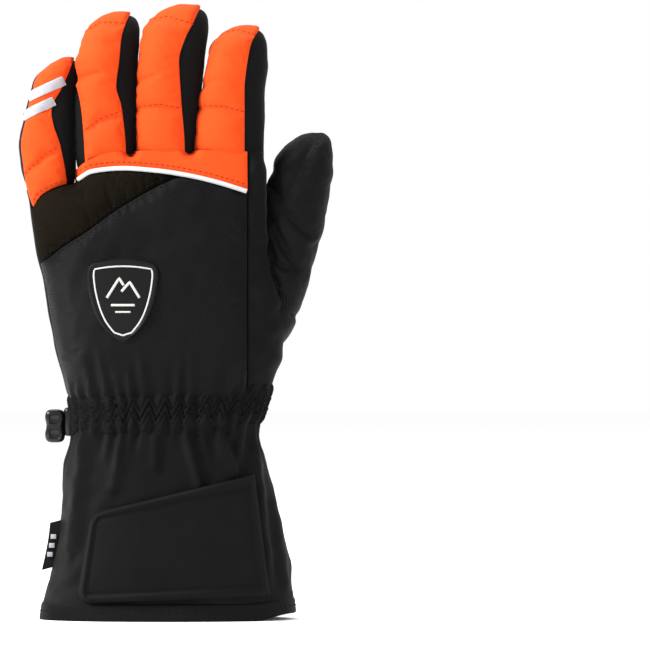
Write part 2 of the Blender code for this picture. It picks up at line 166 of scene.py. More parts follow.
# the angles of a limb's outline at one level, and how far round it each one is
def outlineOf(limb, level):
    angles = np.linspace(-math.pi, math.pi, 1441)
    return angles, lengthsOf(limbPoint(limb, angles, np.full(1441, float(level))))


# angle round a limb as an even share of its outline, and back
def evenTurns(limb, level):
    angles, lengths = outlineOf(limb, level)
    turns = lengths / lengths[-1] * 2 * math.pi - math.pi
    return (lambda angle: np.interp(angle, angles, turns)), (lambda turn: np.interp(turn, turns, angles))


# height of a point that is s mm along a finger: even steps, then slower ones over the rounded end
def fingerHeight(limb, s):
    start = limb["top"] - limb["dome"]
    along = np.clip((limb["base"] + s - start) / (2 * limb["dome"]), 0, 1)
    return np.where(limb["base"] + s < start, limb["base"] + s, limb["top"] - limb["dome"] * (1 - along)**2)


def fingerLength(limb):
    return limb["top"] - limb["dome"] - limb["base"] + 2 * limb["dome"]


def limbPoint(limb, angle, z, lift=0.0):
    z = np.asarray(z, float)
    if limb is body:
        cx, cy, a, b, square = section(body, z)
        tilt = np.zeros(np.shape(z))
    else:
        start = limb["top"] - limb["dome"]
        cx, cy, a, b, square = section(limb, np.minimum(z, start))
        rise = np.clip((z - start) / limb["dome"], 0, 1)
        shrink = np.clip(1 - rise**limb["full"], 0, 1)**(1 / limb["full"])
        cx = cx + (limb["tip"] - cx) * rise**2
        cy = cy + 3.2 * rise**1.5
        a, b = a * shrink, b * shrink
        tilt = rise**2.2
    c, s = np.cos(angle), np.sin(angle)
    power = 2 / square
    fx, fy = np.sign(c) * np.abs(c)**power, np.sign(s) * np.abs(s)**power
    x, y = cx + a * fx, cy + b * fy
    if limb is body:
        y = cy + (y - cy) * webDepth(x, z)
    nx = np.sign(c) * np.abs(c)**(2 - power) / np.maximum(a, 2)
    ny = np.sign(s) * np.abs(s)**(2 - power) / np.maximum(b, 2)
    size = np.sqrt(nx**2 + ny**2) + 1e-9
    flat = np.sqrt(np.clip(1 - tilt**2, 0.0, 1))
    if limb is body:  # the hem slants up at the thumb-side corner
        z = z + 3.4 * easing((x - 36) / 20) * np.clip(1 - z / 18, 0, 1)
    return np.stack([x + lift * nx / size * flat, y + lift * ny / size * flat, z + lift * tilt], -1)


# the hand thins out between two fingers, down to the web
def webDepth(x, z):
    depth = np.ones(np.shape(x))
    for gap in crotches:
        depth = depth - 0.8 * np.exp(-((x - gap["x"]) / 2.7)**2) * easing((z - gap["z"] + 3) / 6)
    return np.clip(depth, 0.12, 1)


def faceAngle(limb, x, z, side=-1):
    z = np.asarray(z, float)
    if limb is body:
        cx, _, a, _, square = section(body, z)
    else:
        start = limb["top"] - limb["dome"]
        cx, _, a, _, square = section(limb, np.minimum(z, start))
        rise = np.clip((z - start) / limb["dome"], 0, 1)
        a = a * np.clip(1 - rise**limb["full"], 0, 1)**(1 / limb["full"])
        cx = cx + (limb["tip"] - cx) * rise**2
    across = np.clip((x - cx) / np.maximum(a, 0.01), -1, 1)
    return side * np.arccos(np.sign(across) * np.abs(across)**(square / 2))


# one value of every item of a mesh, such as its vertices' places, in one flat row
def valuesOf(items, key, size):
    found = np.zeros(len(items) * size)
    items.foreach_get(key, found)
    return found


def gridPiece(name, across, along, place, ring=False):
    deselect()
    bpy.ops.mesh.primitive_grid_add(x_subdivisions=across, y_subdivisions=along, size=1)
    piece = bpy.context.object
    piece.name = name
    flat = valuesOf(piece.data.vertices, "co", 3).reshape(-1, 3)
    points = place(flat[:, 0] + 0.5, flat[:, 1] + 0.5)
    piece.data.vertices.foreach_set("co", world(points).ravel())
    scaleUv(piece, points, 2.6 if ring else 1.0)
    if ring:
        weld(piece, 0.02)
    return piece


# the UV map in mm, so that a weave has its real size
def scaleUv(piece, points, wrap):
    low, high = points.min(0), points.max(0)
    size = (max(high[0] - low[0], high[1] - low[1]) * wrap, max(high[2] - low[2], 1.0))
    layer = piece.data.uv_layers.active
    uv = valuesOf(layer.data, "uv", 2).reshape(-1, 2) * size
    layer.data.foreach_set("uv", uv.ravel())


def weld(piece, distance):
    work = bmesh.new()
    work.from_mesh(piece.data)
    bmesh.ops.remove_doubles(work, verts=work.verts, dist=distance * mm)
    work.to_mesh(piece.data)
    work.free()


def closeEnds(piece):
    work = bmesh.new()
    work.from_mesh(piece.data)
    openEdges = [edge for edge in work.edges if edge.is_boundary]
    if openEdges:
        bmesh.ops.holes_fill(work, edges=openEdges)
    bmesh.ops.recalc_face_normals(work, faces=work.faces)
    work.to_mesh(piece.data)
    work.free()


# turns the faces so that they look away from the limb's middle line
def faceOut(piece, middle):
    mesh = piece.data
    total = 0.0
    for face in mesh.polygons:
        total += (face.center - Vector(middle(face.center))).dot(face.normal) * face.area
    if total < 0:
        mesh.flip_normals()


def limbMiddle(limb):
    def at(p):
        z = p.z / mm
        cx, cy, _, _, _ = section(limb, np.array(z))
        return (float(cx) * mm + origin[0], float(cy) * mm + origin[1], p.z)
    return at


def thicken(piece, thickness, levels=0):
    wall = piece.modifiers.new("wall", "SOLIDIFY")
    wall.thickness = thickness * mm
    wall.offset = -1
    wall.use_even_offset = False
    if levels:
        smooth = piece.modifiers.new("smooth", "SUBSURF")
        smooth.levels = smooth.render_levels = levels
    applyAll(piece)
    pick(piece)
    bpy.ops.object.shade_smooth()


# puffs a panel that is sewn down where hold is true, then caps how far it has moved
def puff(piece, hold, pressure, slack, cap, frames=20):
    scale = 20.0  # the cloth is simulated this many times its size
    mesh = piece.data
    before = valuesOf(mesh.vertices, "co", 3)
    mesh.vertices.foreach_set("co", before * scale)
    group = piece.vertex_groups.new(name="sewn")
    group.add([int(i) for i in np.flatnonzero(hold)], 1.0, "REPLACE")
    cloth = piece.modifiers.new("cloth", "CLOTH")
    sewing = cloth.settings
    sewing.vertex_group_mass = "sewn"
    sewing.quality = 6
    sewing.mass = 0.05
    sewing.tension_stiffness = sewing.compression_stiffness = 12
    sewing.shear_stiffness = 4
    sewing.bending_stiffness = 1.2
    sewing.tension_damping = sewing.compression_damping = sewing.shear_damping = 4
    sewing.bending_damping = 0.5
    sewing.air_damping = 3
    sewing.shrink_min = -slack
    sewing.use_pressure = True
    sewing.uniform_pressure_force = pressure
    sewing.effector_weights.gravity = 0
    cloth.collision_settings.use_self_collision = False
    cloth.collision_settings.use_collision = False
    cloth.point_cache.frame_start, cloth.point_cache.frame_end = 1, frames
    for number in range(1, frames + 1):
        bpy.context.scene.frame_set(number)
    applyAll(piece)
    bpy.context.scene.frame_set(1)
    mesh = piece.data
    moved = (valuesOf(mesh.vertices, "co", 3) / scale - before).reshape(-1, 3)
    far = np.linalg.norm(moved, axis=1)
    moved *= np.minimum(1, cap * mm / np.maximum(far, 1e-9))[:, None]
    mesh.vertices.foreach_set("co", before + moved.ravel())
    piece.vertex_groups.clear()
    print(piece.name, "puffed by up to", round(far.max() * 1000, 2), "mm, mean",
          round(far.mean() * 1000, 2))


def newMaterial(name, **values):
    material = bpy.data.materials.new(name)
    material.use_nodes = True
    shader = material.node_tree.nodes["Principled BSDF"]
    for key, value in values.items():
        shader.inputs[key.replace("_", " ")].default_value = value
    return material, material.node_tree, shader


def addNode(tree, kind, **values):
    made = tree.nodes.new(kind)
    for key, value in values.items():
        made.inputs[key.replace("_", " ")].default_value = value
    return made


# a colour that drifts between a darker and a lighter one, after a cloudy pattern
def driftRamp(tree, cloud, colour, drift):
    ramp = tree.nodes.new("ShaderNodeValToRGB")
    dark, light = ramp.color_ramp.elements
    dark.color = (*[c * (1 - drift) for c in colour], 1)
    light.color = (*[min(1, c * (1 + drift)) for c in colour], 1)
    tree.links.new(cloud.outputs["Fac"], ramp.inputs["Fac"])
    return ramp


# woven or coated cloth: its colour drifts a little, its threads are a bump, and painted shade darkens the
# colour in the weave's low parts; pitch is the thread's in mm
def fabric(name, colour, rough=0.8, pitch=0.6, weave="twill", bump=0.35, drift=0.22, sheen=0.015,
           shine=0.075):
    material, tree, shader = newMaterial(name, Roughness=rough, Sheen_Weight=sheen, Sheen_Roughness=0.35,
                                         Specular_IOR_Level=shine)
    link = tree.links.new
    where = addNode(tree, "ShaderNodeTexCoord")
    cloud = addNode(tree, "ShaderNodeTexNoise", Scale=55.0, Detail=6.0, Roughness=0.65)
    link(where.outputs["Object"], cloud.inputs["Vector"])
    ramp = driftRamp(tree, cloud, colour, drift)
    ramp.color_ramp.elements[0].position, ramp.color_ramp.elements[1].position = 0.3, 0.72
    mix = addNode(tree, "ShaderNodeMix")
    mix.data_type = "RGBA"
    mix.blend_type = "MULTIPLY"
    mix.inputs["Factor"].default_value = 0.45
    link(ramp.outputs["Color"], mix.inputs["A"])

    if weave == "grip":
        thread = addNode(tree, "ShaderNodeTexVoronoi", Scale=1 / pitch)
        height = thread.outputs["Distance"]
    elif weave == "soft":
        thread = addNode(tree, "ShaderNodeTexNoise", Scale=1 / pitch, Detail=3.0)
        height = thread.outputs["Fac"]
    else:
        thread = addNode(tree, "ShaderNodeTexWave", Scale=0.31 / pitch, Distortion=0.4, Detail=1.0)
        thread.bands_direction = dict(twill="DIAGONAL", rib="Y", ripstop="X")[weave]
        height = thread.outputs["Fac"]
    link(where.outputs["UV"], thread.inputs["Vector"])
    if weave == "ripstop":
        cross = addNode(tree, "ShaderNodeTexWave", Scale=0.31 / pitch, Distortion=0.4)
        cross.bands_direction = "Y"
        link(where.outputs["UV"], cross.inputs["Vector"])
        both = addNode(tree, "ShaderNodeMath")
        both.operation = "MAXIMUM"
        link(thread.outputs["Fac"], both.inputs[0])
        link(cross.outputs["Fac"], both.inputs[1])
        height = both.outputs["Value"]
    # painted shade: the colour is darkened where the weave's threads lie low, as if shaded
    paintedWeaveShade = addNode(tree, "ShaderNodeValToRGB")
    paintedWeaveShade.color_ramp.elements[0].color = (0.55, 0.55, 0.55, 1)
    link(height, paintedWeaveShade.inputs["Fac"])
    link(paintedWeaveShade.outputs["Color"], mix.inputs["B"])
    link(mix.outputs["Result"], shader.inputs["Base Color"])
    dents = addNode(tree, "ShaderNodeBump", Strength=bump, Distance=0.0002)
    link(height, dents.inputs["Height"])
    link(dents.outputs["Normal"], shader.inputs["Normal"])
    return material


def moulded(name, colour, rough=0.4, drift=0.12, grain=900.0, shine=0.1):
    material, tree, shader = newMaterial(name, Roughness=rough, Specular_IOR_Level=shine)
    link = tree.links.new
    where = addNode(tree, "ShaderNodeTexCoord")
    cloud = addNode(tree, "ShaderNodeTexNoise", Scale=grain)
    link(where.outputs["Object"], cloud.inputs["Vector"])
    link(driftRamp(tree, cloud, colour, drift).outputs["Color"], shader.inputs["Base Color"])
    dents = addNode(tree, "ShaderNodeBump", Strength=0.12, Distance=0.0001)
    link(cloud.outputs["Fac"], dents.inputs["Height"])
    link(dents.outputs["Normal"], shader.inputs["Normal"])
    return material


orange = fabric("orange shell", (0.60, 0.053, 0.0068), rough=0.72, pitch=0.7, weave="ripstop", bump=0.3,
                drift=0.06, sheen=0.02)
twill = fabric("black twill", (0.0020, 0.0020, 0.0022), rough=0.56, pitch=0.6, weave="twill", bump=0.8,
               shine=0.078)
softshell = fabric("black softshell", (0.0037, 0.0037, 0.0039), rough=0.85, pitch=0.5, weave="soft",
                   bump=0.35, sheen=0.04)
olive = fabric("olive grip", (0.0078, 0.0080, 0.0052), rough=0.7, pitch=1.1, weave="grip", bump=0.6)
ribbed = fabric("olive rib", (0.0066, 0.0050, 0.0030), rough=0.8, pitch=1.3, weave="rib", bump=1.0,
                shine=0.02, sheen=0.0)
fleece = fabric("fleece lining", (0.007, 0.007, 0.0075), rough=0.95, pitch=1.6, weave="soft", bump=0.9,
                sheen=0.2)
elasticCloth = fabric("wrist elastic", (0.0040, 0.0040, 0.0043), rough=0.85, pitch=0.6, weave="rib",
                      bump=0.5)
stripeCloth = fabric("reflective grey", (0.36, 0.358, 0.385), rough=0.45, pitch=0.6, weave="twill",
                     bump=0.25, drift=0.05)
pipingCloth = fabric("white piping", (0.50, 0.50, 0.51), rough=0.6, pitch=0.7, weave="twill", bump=0.4,
                     drift=0.08)
labelCloth = fabric("label", (0.007, 0.007, 0.0075), rough=0.8, pitch=0.5, weave="rib", bump=0.4)
hookCloth = fabric("hook tape", (0.010, 0.010, 0.010), rough=0.9, pitch=0.9, weave="grip", bump=0.9)
orangeThread = moulded("orange thread", (0.25, 0.022, 0.005), rough=0.7, grain=1600)
blackThread = moulded("black thread", (0.0022, 0.0022, 0.0023), rough=0.7, grain=1600)
rubber = moulded("badge rubber", (0.0028, 0.0028, 0.0028), rough=0.45, shine=0.12)
silver = moulded("silver print", (0.40, 0.395, 0.375), rough=0.5)
acetal = moulded("black acetal", (0.0035, 0.0033, 0.0036), rough=0.25, shine=0.28)


def paint(piece, material):
    piece.data.materials.clear()
    piece.data.materials.append(material)


def nearLine(x, z, line):
    line = np.asarray(line, float)
    best = np.full(np.shape(x), 1e9)
    for (ax, az), (bx, bz) in zip(line[:-1], line[1:]):
        dx, dz = bx - ax, bz - az
        t = np.clip(((x - ax) * dx + (z - az) * dz) / (dx * dx + dz * dz), 0, 1)
        best = np.minimum(best, np.hypot(x - ax - t * dx, z - az - t * dz))
    return best


def reach(points):
    return lengthsOf(points)[-1]


# a cloth panel lying on a limb: edges gives the angle and height of each point of the panel
def layPanel(name, limb, edges, across, along, material, lift=0.7, pillow=1.2, soft=3.0, seams=(),
             thick=0.8,
             air=0.0, cap=2.5, slack=0.05, wrinkle=None, levels=1):
    even = np.linspace(0, 1, 40)
    half = np.full(40, 0.5)
    width = reach(limbPoint(limb, *edges(even, half)))
    length = reach(limbPoint(limb, *edges(half, even)))
    found = {}

    def place(u, v):
        angle, z = edges(u, v)
        flat = limbPoint(limb, angle, z)
        gap = np.minimum(np.minimum(u, 1 - u) * width, np.minimum(v, 1 - v) * length)
        for seam in seams:
            gap = np.minimum(gap, nearLine(flat[:, 0], flat[:, 2], seam))
        found["gap"] = gap
        rise = lift + pillow * (1 - np.exp(-(gap / soft)**1.3))
        if wrinkle is not None:
            rise = rise + wrinkle(flat[:, 0], flat[:, 2], gap)
        return limbPoint(limb, angle, z, rise)

    piece = gridPiece(name, across, along, place)
    faceOut(piece, limbMiddle(limb))
    if air:
        cell = max(width / across, length / along) * 0.62
        puff(piece, found["gap"] < cell, pressure=air, slack=slack, cap=cap)
    thicken(piece, thick, levels)
    paint(piece, material)
    return piece


# a grid of points in mm, made a sheet of cloth that faces away from a limb's middle
def laySheet(name, limb, place, across, along, material, thick, levels=1, ring=False):
    piece = gridPiece(name, across, along, place, ring)
    faceOut(piece, limbMiddle(limb))
    thicken(piece, thick, levels)
    paint(piece, material)
    return piece


# a piece, the solids that it stands for, and the body that it rides on
def settle(piece, solids=(), body=None):
    if body:
        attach(piece, body)
    if solids:
        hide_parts(*solids)


# a closed tube round a limb: profile gives height and lift for v from 0 to 1
def layTube(name, limb, profile, across, along, material, thick=0.8, bumps=None, levels=1):
    _, angleAt = evenTurns(limb, limb.get("base", 98) + 4)

    def place(u, v):
        angle = angleAt(-math.pi + 2 * math.pi * u)
        z, lift = profile(v)
        if bumps is not None:
            lift = lift + bumps(angle, z)
        return limbPoint(limb, angle, z, lift)

    return laySheet(name, limb, place, across, along, material, thick, levels, ring=True)


stitch = dict(step=2.6, size=1.7, radius=0.22, sides=6,
              rings=((-0.5, 0.35), (-0.3, 1.0), (0.3, 1.0), (0.5, 0.35)))
castFrom = 60  # where a ray starts, mm in front of the glove's middle or behind it


def spread(line, step, start=0.5):
    line = np.asarray(line, float)
    lengths = lengthsOf(line)
    places = np.arange(start * step, lengths[-1], step)
    return np.stack([np.interp(places, lengths, line[:, k]) for k in range(line.shape[1])], -1)


def treeOf(pieces):
    joined = bmesh.new()
    for piece in pieces:
        joined.from_mesh(piece.data)
    tree = BVHTree.FromBMesh(joined)
    joined.free()
    return tree


# where a ray from the back (side -1) or the palm (side 1) meets the cloth, and the way the cloth faces there
def cast(tree, x, z, side=-1):
    hit, normal, _, _ = tree.ray_cast(Vector(world([x, side * castFrom, z])), Vector((0, -side, 0)))
    if hit is not None and normal.y * side < 0:
        normal = -normal
    return hit, normal


# thread dashes sewn along lines of (x, z)
def sew(name, onto, lines, material, side=-1):
    tree = treeOf(onto)
    verts, faces = [], []
    for line in lines:
        for x, z, dx, dz in withDirection(spread(line, stitch["step"])):
            hit, normal = cast(tree, x, z, side)
            if hit is None:
                continue
            addStitch(verts, faces, hit, Vector((dx, 0, dz)), normal, stitch["size"], stitch["radius"])
    return meshPiece(name, verts, faces, material)


def withDirection(points):
    steps = np.gradient(points, axis=0) if len(points) > 1 else np.array([[1.0, 0.0]] * len(points))
    for (x, z), (dx, dz) in zip(points, steps):
        yield x, z, dx, dz


# one dash of thread, size mm long, lying on the cloth
def addStitch(verts, faces, at, ahead, normal, size, radius):
    size, radius, sides = size * mm, radius * mm, stitch["sides"]
    ahead = (ahead - normal * ahead.dot(normal)).normalized()
    aside = ahead.cross(normal)
    first = len(verts)
    for along, share in stitch["rings"]:
        sink = radius * (0.25 if share == 1.0 else -0.5)
        for k in range(sides):
            turn = 2 * math.pi * k / sides
            verts.append(at + ahead * (along * size) + normal * (sink + radius * share * math.sin(turn))
                         + aside * (radius * share * 1.15 * math.cos(turn)))
    for ring in range(len(stitch["rings"]) - 1):
        for k in range(sides):
            a, b = first + ring * sides + k, first + ring * sides + (k + 1) % sides
            faces.append((a, b, b + sides, a + sides))
    faces.append(tuple(first + k for k in reversed(range(sides))))
    faces.append(tuple(first + 3 * sides + k for k in range(sides)))


def meshPiece(name, verts, faces, material):
    mesh = bpy.data.meshes.new(name)
    mesh.from_pydata([tuple(v) for v in verts], [], faces)
    piece = bpy.data.objects.new(name, mesh)
    bpy.context.scene.collection.objects.link(piece)
    work = bmesh.new()
    work.from_mesh(mesh)
    bmesh.ops.recalc_face_normals(work, faces=work.faces)
    work.to_mesh(mesh)
    work.free()
    mesh.shade_smooth()
    paint(piece, material)
    return piece


# a round cord through points in mm
def cordPiece(name, points, radius, material, sides=3):
    curve = bpy.data.curves.new(name, "CURVE")
    curve.dimensions = "3D"
    curve.bevel_depth = radius * mm
    curve.bevel_resolution = sides
    curve.use_fill_caps = True
    spline = curve.splines.new("POLY")
    spline.points.add(len(points) - 1)
    for point, where in zip(spline.points, world(points)):
        point.co = (*where, 1)
    piece = bpy.data.objects.new(name, curve)
    bpy.context.scene.collection.objects.link(piece)
    pick(piece)
    bpy.ops.object.convert(target="MESH")
    piece = bpy.context.object
    bpy.ops.object.shade_smooth()
    paint(piece, material)
    return piece


# the points of a line of (x, z) on the back of some pieces
def castLine(onto, line, step):
    tree = treeOf(onto)
    hits = [cast(tree, x, z)[0] for x, z in spread(line, step)]
    return np.array([(np.array(hit) - origin) / mm for hit in hits if hit is not None])


def offsetLine(line, away):
    line = np.asarray(line, float)
    slope = np.gradient(line, axis=0)
    slope /= np.linalg.norm(slope, axis=1)[:, None]
    return line + np.stack([-slope[:, 1], slope[:, 0]], -1) * away


def sampled(curve, start, stop, count=40):
    xs = np.linspace(start, stop, count)
    return np.stack([xs, curve(xs)], -1)


print("cuff")
cuff = dict(
    folds=[((-42, 90), (-48, 36), 2.2, 4.5), ((-22, 92), (-27, 64), 2.2, 3.6), ((-8, 92), (-8, 74), 2.4, 2.6),
           ((6, 92), (12.5, 64), 4.0, 2.5), ((20, 94), (29, 70), 3.8, 2.5), ((33, 90), (31, 74), 2.0, 2.4),
           ((38, 92), (47, 10), 2.4, 2.4), ((44, 78), (52, 40), 2.2, 2.6), ((52, 46), (54, 12), 2.0, 2.4)],
    palmFolds=[((-38, 92), (-48, 48), 1.8, 4.2), ((-22, 92), (-30, 44), 2.0, 4.2),
               ((-6, 92), (-6, 52), 1.8, 3.8),
               ((12, 92), (18, 44), 2.0, 4.2), ((28, 92), (40, 46), 1.8, 4.2)],
)


def foldLift(x, z, folds):
    total = np.zeros(np.shape(x))
    for (ax, az), (bx, bz), depth, wide in folds:
        away = nearLine(x, z, [(ax, az), (bx, bz)])
        side = np.sign((bx - ax) * (z - az) - (bz - az) * (x - ax))
        total = total + depth * (np.exp(-(away / wide)**2) - 0.7
                                 * np.exp(-((away - wide * side * 0.9) / wide)**2) * (side > 0))
    return total


# the small pleats that the wrist elastic pulls in
waistTurn, waistAngle = evenTurns(body, 99)


def gathers(angle):
    turn = waistTurn(angle)
    return np.sin(turn * 34 + 1.2 * np.sin(turn * 3) + 0.9 * np.sin(turn * 9))


def cuffBumps(angle, z):
    flat = limbPoint(body, angle, z)
    x = flat[..., 0]
    near = foldLift(x, z, cuff["folds"]) * (np.sin(angle) < 0)
    far = foldLift(x, z, cuff["palmFolds"]) * (np.sin(angle) > 0)
    gather = 1.25 * gathers(angle) * easing((z - 72 - 8 * np.sin(angle * 7)) / 19)
    fade = easing((z - 8) / 20) * easing((93 - z) / 10) * np.clip(np.abs(np.sin(angle)) * 2, 0, 1)
    return (near + far) * fade + gather + 0.9 * ripple(5, angle * 40, z, 30)


cuffShell = layTube("cuffShell", body, lambda v: (5 + 88 * v, -0.3 + 0 * v), 140, 60, twill, 1.0, cuffBumps)
hemTurns = through((0, 8.0), (0.18, 7.6), (0.3, 5), (0.48, 1.1), (0.56, 0.1), (0.64, 0.5), (0.8, 4), (1, 9))
hemLifts = through((0, -1.0), (0.10, -0.45), (0.2, -0.05), (0.48, 0.05), (0.57, -0.1), (0.66, -1.3),
                   (0.8, -1.9), (1, -2.2))
hem = layTube("hemBinding", body, lambda v: (hemTurns(v), hemLifts(v)), 120, 26, twill, 0.5, lambda angle,
              z: 0.25 * ripple(8, angle * 40, z, 20))
cuffLining = layTube("cuffLining", body, lambda v: (6 + 80 * v, -4.2 + 0 * v), 90, 40, fleece, 0.8,
                     lambda angle, z: 0.5 * ripple(11, angle * 40, z, 22), levels=0)
handLining = layTube("handLining", body, lambda v: (113 + 92 * v, -5.2 - 1.0 * v), 72, 50, fleece, 0.8,
                     levels=0)
wristLining = layTube("wristLining", body, lambda v: (84.5 + 30 * v, -5.4 - 0.9 * v), 90, 30, fleece, 0.6,
                      levels=0)
settle(cuffShell, ["cuff_shell", "cuff_wadding"], "cuff")
settle(hem, ["hem_binding"], "cuff")
settle(cuffLining, ["cuff_lining"], "cuff")
settle(handLining, ["hand_lining"], "hand")
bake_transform(wristLining)
settle(wristLining, ["wrist_lining"])


# thread dashes round a limb at one height
def ringStitches(name, onto, limb, height, material, step=3.1, size=2.1, radius=0.24):
    tree = treeOf(onto)
    verts, faces = [], []

    def spot(angle, lift=0.0):
        return Vector(world(limbPoint(limb, np.array(angle), np.array(height), lift)))

    angles, lengths = outlineOf(limb, height)
    for place in np.arange(0, lengths[-1] - step * 0.5, step):
        angle = np.interp(place, lengths, angles)
        outer, inner = spot(angle, 14.0), spot(angle, -2.0)
        hit, normal, _, _ = tree.ray_cast(outer, (inner - outer).normalized())
        if hit is None:
            continue
        if normal.dot(outer - inner) < 0:
            normal = -normal
        addStitch(verts, faces, hit, spot(angle + 0.02) - spot(angle), normal, size, radius)
    return meshPiece(name, verts, faces, material)


hemStitches = ringStitches("hemStitches", [hem], body, 4.2, blackThread)
settle(hemStitches, body="cuff")


# a zig-zag wave, for the rows that sew the wrist elastic's gathers down
def tri(t):
    return 2 * np.abs(t - np.floor(t + 0.5))


def gaiterBumps(angle, z):
    level = z - 3.0 * np.cos(angle)
    turn = waistTurn(angle)
    zig = 99.0 + 4.4 * (2 * tri(turn * 16.5 / math.pi + 0.15 * np.sin(turn * 5)) - 1)
    away = level - zig
    groove = np.exp(-away**2) + 0.7 * np.exp(-(away - 4.6)**2) + 0.7 * np.exp(-(away + 4.6)**2)
    edge = np.clip(np.abs(level - 99) / 9.8, 0, 1)
    return 1.9 - 1.9 * groove * (1 - edge**4) + 0.75 * gathers(angle) * (0.5 + edge) - 2.5 * edge**4


gaiter = layTube("wristGaiter", body, lambda v: (87.5 + 23.5 * v, -0.1 + 0 * v), 330, 40, elasticCloth, 0.9,
                 gaiterBumps, levels=0)
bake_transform(gaiter)
settle(gaiter, ["wrist_gaiter", "wrist_elastic"])

print("hand")
piping = through((-50, 205), (-45, 207.6), (-38.5, 211.4), (-24, 212.8), (-9, 211.8), (6, 209.6),
                 (20, 206.4), (35, 201.8))
diagonal = through((-72, 166), (-60.5, 170), (-53, 175.6), (-40, 184), (-28, 192.8), (-14, 201.4),
                   (-1, 208.4))
sideSeam = 34.6  # x of the seam between the back panel and the index-side strip
palmSeam = through((-66, 160), (-58, 170), (-49, 178), (-38, 184.5), (-20, 189.5), (-6, 192.5), (4, 197),
                   (16, 201), (30, 202.5), (44, 202.6))
# the seam between the palm and the strip by the thumb
oliveInner = through((100, 2.5), (148, 0.5), (170, 3.0), (184, 14), (200, 27), (222, 36))
oliveOuter = through((100, 18), (148, 26), (175, 34), (200, 38), (222, 40))


def handBumps(angle, z):
    gather = 0.8 * gathers(angle) * easing((124 - z) / 18)
    return gather + 0.4 * ripple(15, angle * 36, z, 30)


def handShellPlace(u, v):
    angle = waistAngle(-math.pi + 2 * math.pi * u)
    z = 105 + 100 * v
    for _ in range(6):
        x = limbPoint(body, angle, z)[:, 0]
        z = 105 + (shellTop(x) - 105) * v
    return limbPoint(body, angle, z, -0.7 - 1.2 * easing((z - 200) / 18) + handBumps(angle, z) * (z < 200))


shellTop = through((-74, 200), (-52, 203), (-47.2, 205.5), (-43, 214), (-36, 219), (44, 219.5))
handShell = laySheet("handShell", body, handShellPlace, 120, 60, softshell, 1.0, ring=True)
settle(handShell, ["hand_wadding", "membrane"], "hand")


# a panel between two heights and two edges of the hand, given as curves
def handEdges(left, right, low, high, side):
    def edges(u, v):
        u, v = np.asarray(u, float), np.asarray(v, float)
        z = np.full(np.broadcast(u, v).shape, 160.0)
        x = np.zeros(z.shape)
        for _ in range(12):
            x = left(z) + (right(z) - left(z)) * u
            z = low(x) + (high(x) - low(x)) * v
        return faceAngle(body, x, z, side), z
    return edges


def outerEdge(inset):
    return lambda z: body["left"](z) + inset


def creases(seed, depth, size):
    return lambda x, z, gap: depth * ripple(seed, x, z, size) * np.clip(gap / 3, 0, 1)


knuckleTop = through((-74, 188), (-66.2, 194.6), (-62.6, 199.2), (-57.6, 202.4), (-50, 205.2), (-45, 207.6),
                     (-38.5, 211.4), (-24, 212.8), (-9, 211.8), (0, 210.6))
twillTop = through((-72, 165), (-60.5, 169.6), (-53, 175.2), (-40, 183.6), (-28, 192.4), (-14, 201),
                   (-3, 206.8), (3, 208.8), (10, 208), (20, 205.4), (34.6, 201))
bandTop = through((-52, 208.5), (-47, 212.2), (-40, 216.8), (-31, 220.4), (-20.2, 221.2), (8, 221.6),
                  (35, 221))


def gatherCreases(x, z, gap):
    fan = gathers(faceAngle(body, x, z, -1)) * easing((128 - z + 6 * np.sin(x * 0.31)) / 24) * 0.95
    return fan + 0.9 * ripple(23, x, z, 34) * np.clip(gap / 4, 0, 1)


twillEdges = handEdges(outerEdge(0.25), fixed(sideSeam), fixed(104), twillTop, -1)
knuckleEdges = handEdges(outerEdge(0.25), fixed(0), diagonal, knuckleTop, -1)
bandEdges = handEdges(fixed(-47), fixed(sideSeam), piping, bandTop, -1)
twillPanel = layPanel("backTwill", body, twillEdges, 90, 90, twill, lift=0.3, pillow=1.3, soft=4,
                      wrinkle=gatherCreases, air=2.0, cap=0.9, slack=0.02)
knucklePanel = layPanel("knucklePanel", body, knuckleEdges, 70, 46, ribbed, lift=0.35, pillow=1.8, soft=4.5,
                        air=4.0, cap=2.4, slack=0.05)
band = layPanel("orangeBand", body, bandEdges, 110, 16, orange, lift=1.0, pillow=0.8, soft=2.0)
settle(twillPanel, ["hand_back"], "hand")
settle(knucklePanel, ["knuckle_panel"], "hand")
settle(band, ["orange_band"], "hand")


def wrapEdges(angleLow, angleHigh, low, high):
    def edges(u, v):
        u, v = np.asarray(u, float), np.asarray(v, float)
        z = low + (high - low) * v + 0 * u
        start, stop = angleLow(z), angleHigh(z)
        return start + (stop - start) * u, z
    return edges


indexEdges = wrapEdges(lambda z: faceAngle(body, sideSeam + 0.3 + 0 * z, z), fixed(0.75), 104, 221)
pinkyEdges = wrapEdges(fixed(-math.pi - 0.85), fixed(-math.pi + 0.1), 104, 203)
stretchTop = through((-70, 201), (-52, 203), (-44, 209), (-30, 214), (-20, 214), (8, 214), (42, 217))
stretchEdges = handEdges(outerEdge(2.2), fixed(42), palmSeam, stretchTop, 1)
palmEdges = handEdges(outerEdge(2.2), oliveInner, fixed(104), palmSeam, 1)
stripEdges = handEdges(oliveInner, oliveOuter, fixed(104), palmSeam, 1)
indexSide = layPanel("indexSide", body, indexEdges, 26, 90, softshell, lift=0.2, pillow=0.9, soft=2.5,
                     wrinkle=creases(31, 1.4, 18))
pinkySide = layPanel("pinkySide", body, pinkyEdges, 24, 80, softshell, lift=0.1, pillow=0.9, soft=2.5,
                     wrinkle=creases(33, 0.5, 30))
palmStretch = layPanel("palmStretch", body, stretchEdges, 90, 36, softshell, lift=0.2, pillow=1.1, soft=3,
                       wrinkle=creases(41, 0.6, 26))
palmGrip = layPanel("palmGrip", body, palmEdges, 70, 90, twill, lift=0.35, pillow=1.2, soft=4,
                    wrinkle=gatherCreases, air=2.0, cap=0.9, slack=0.02)
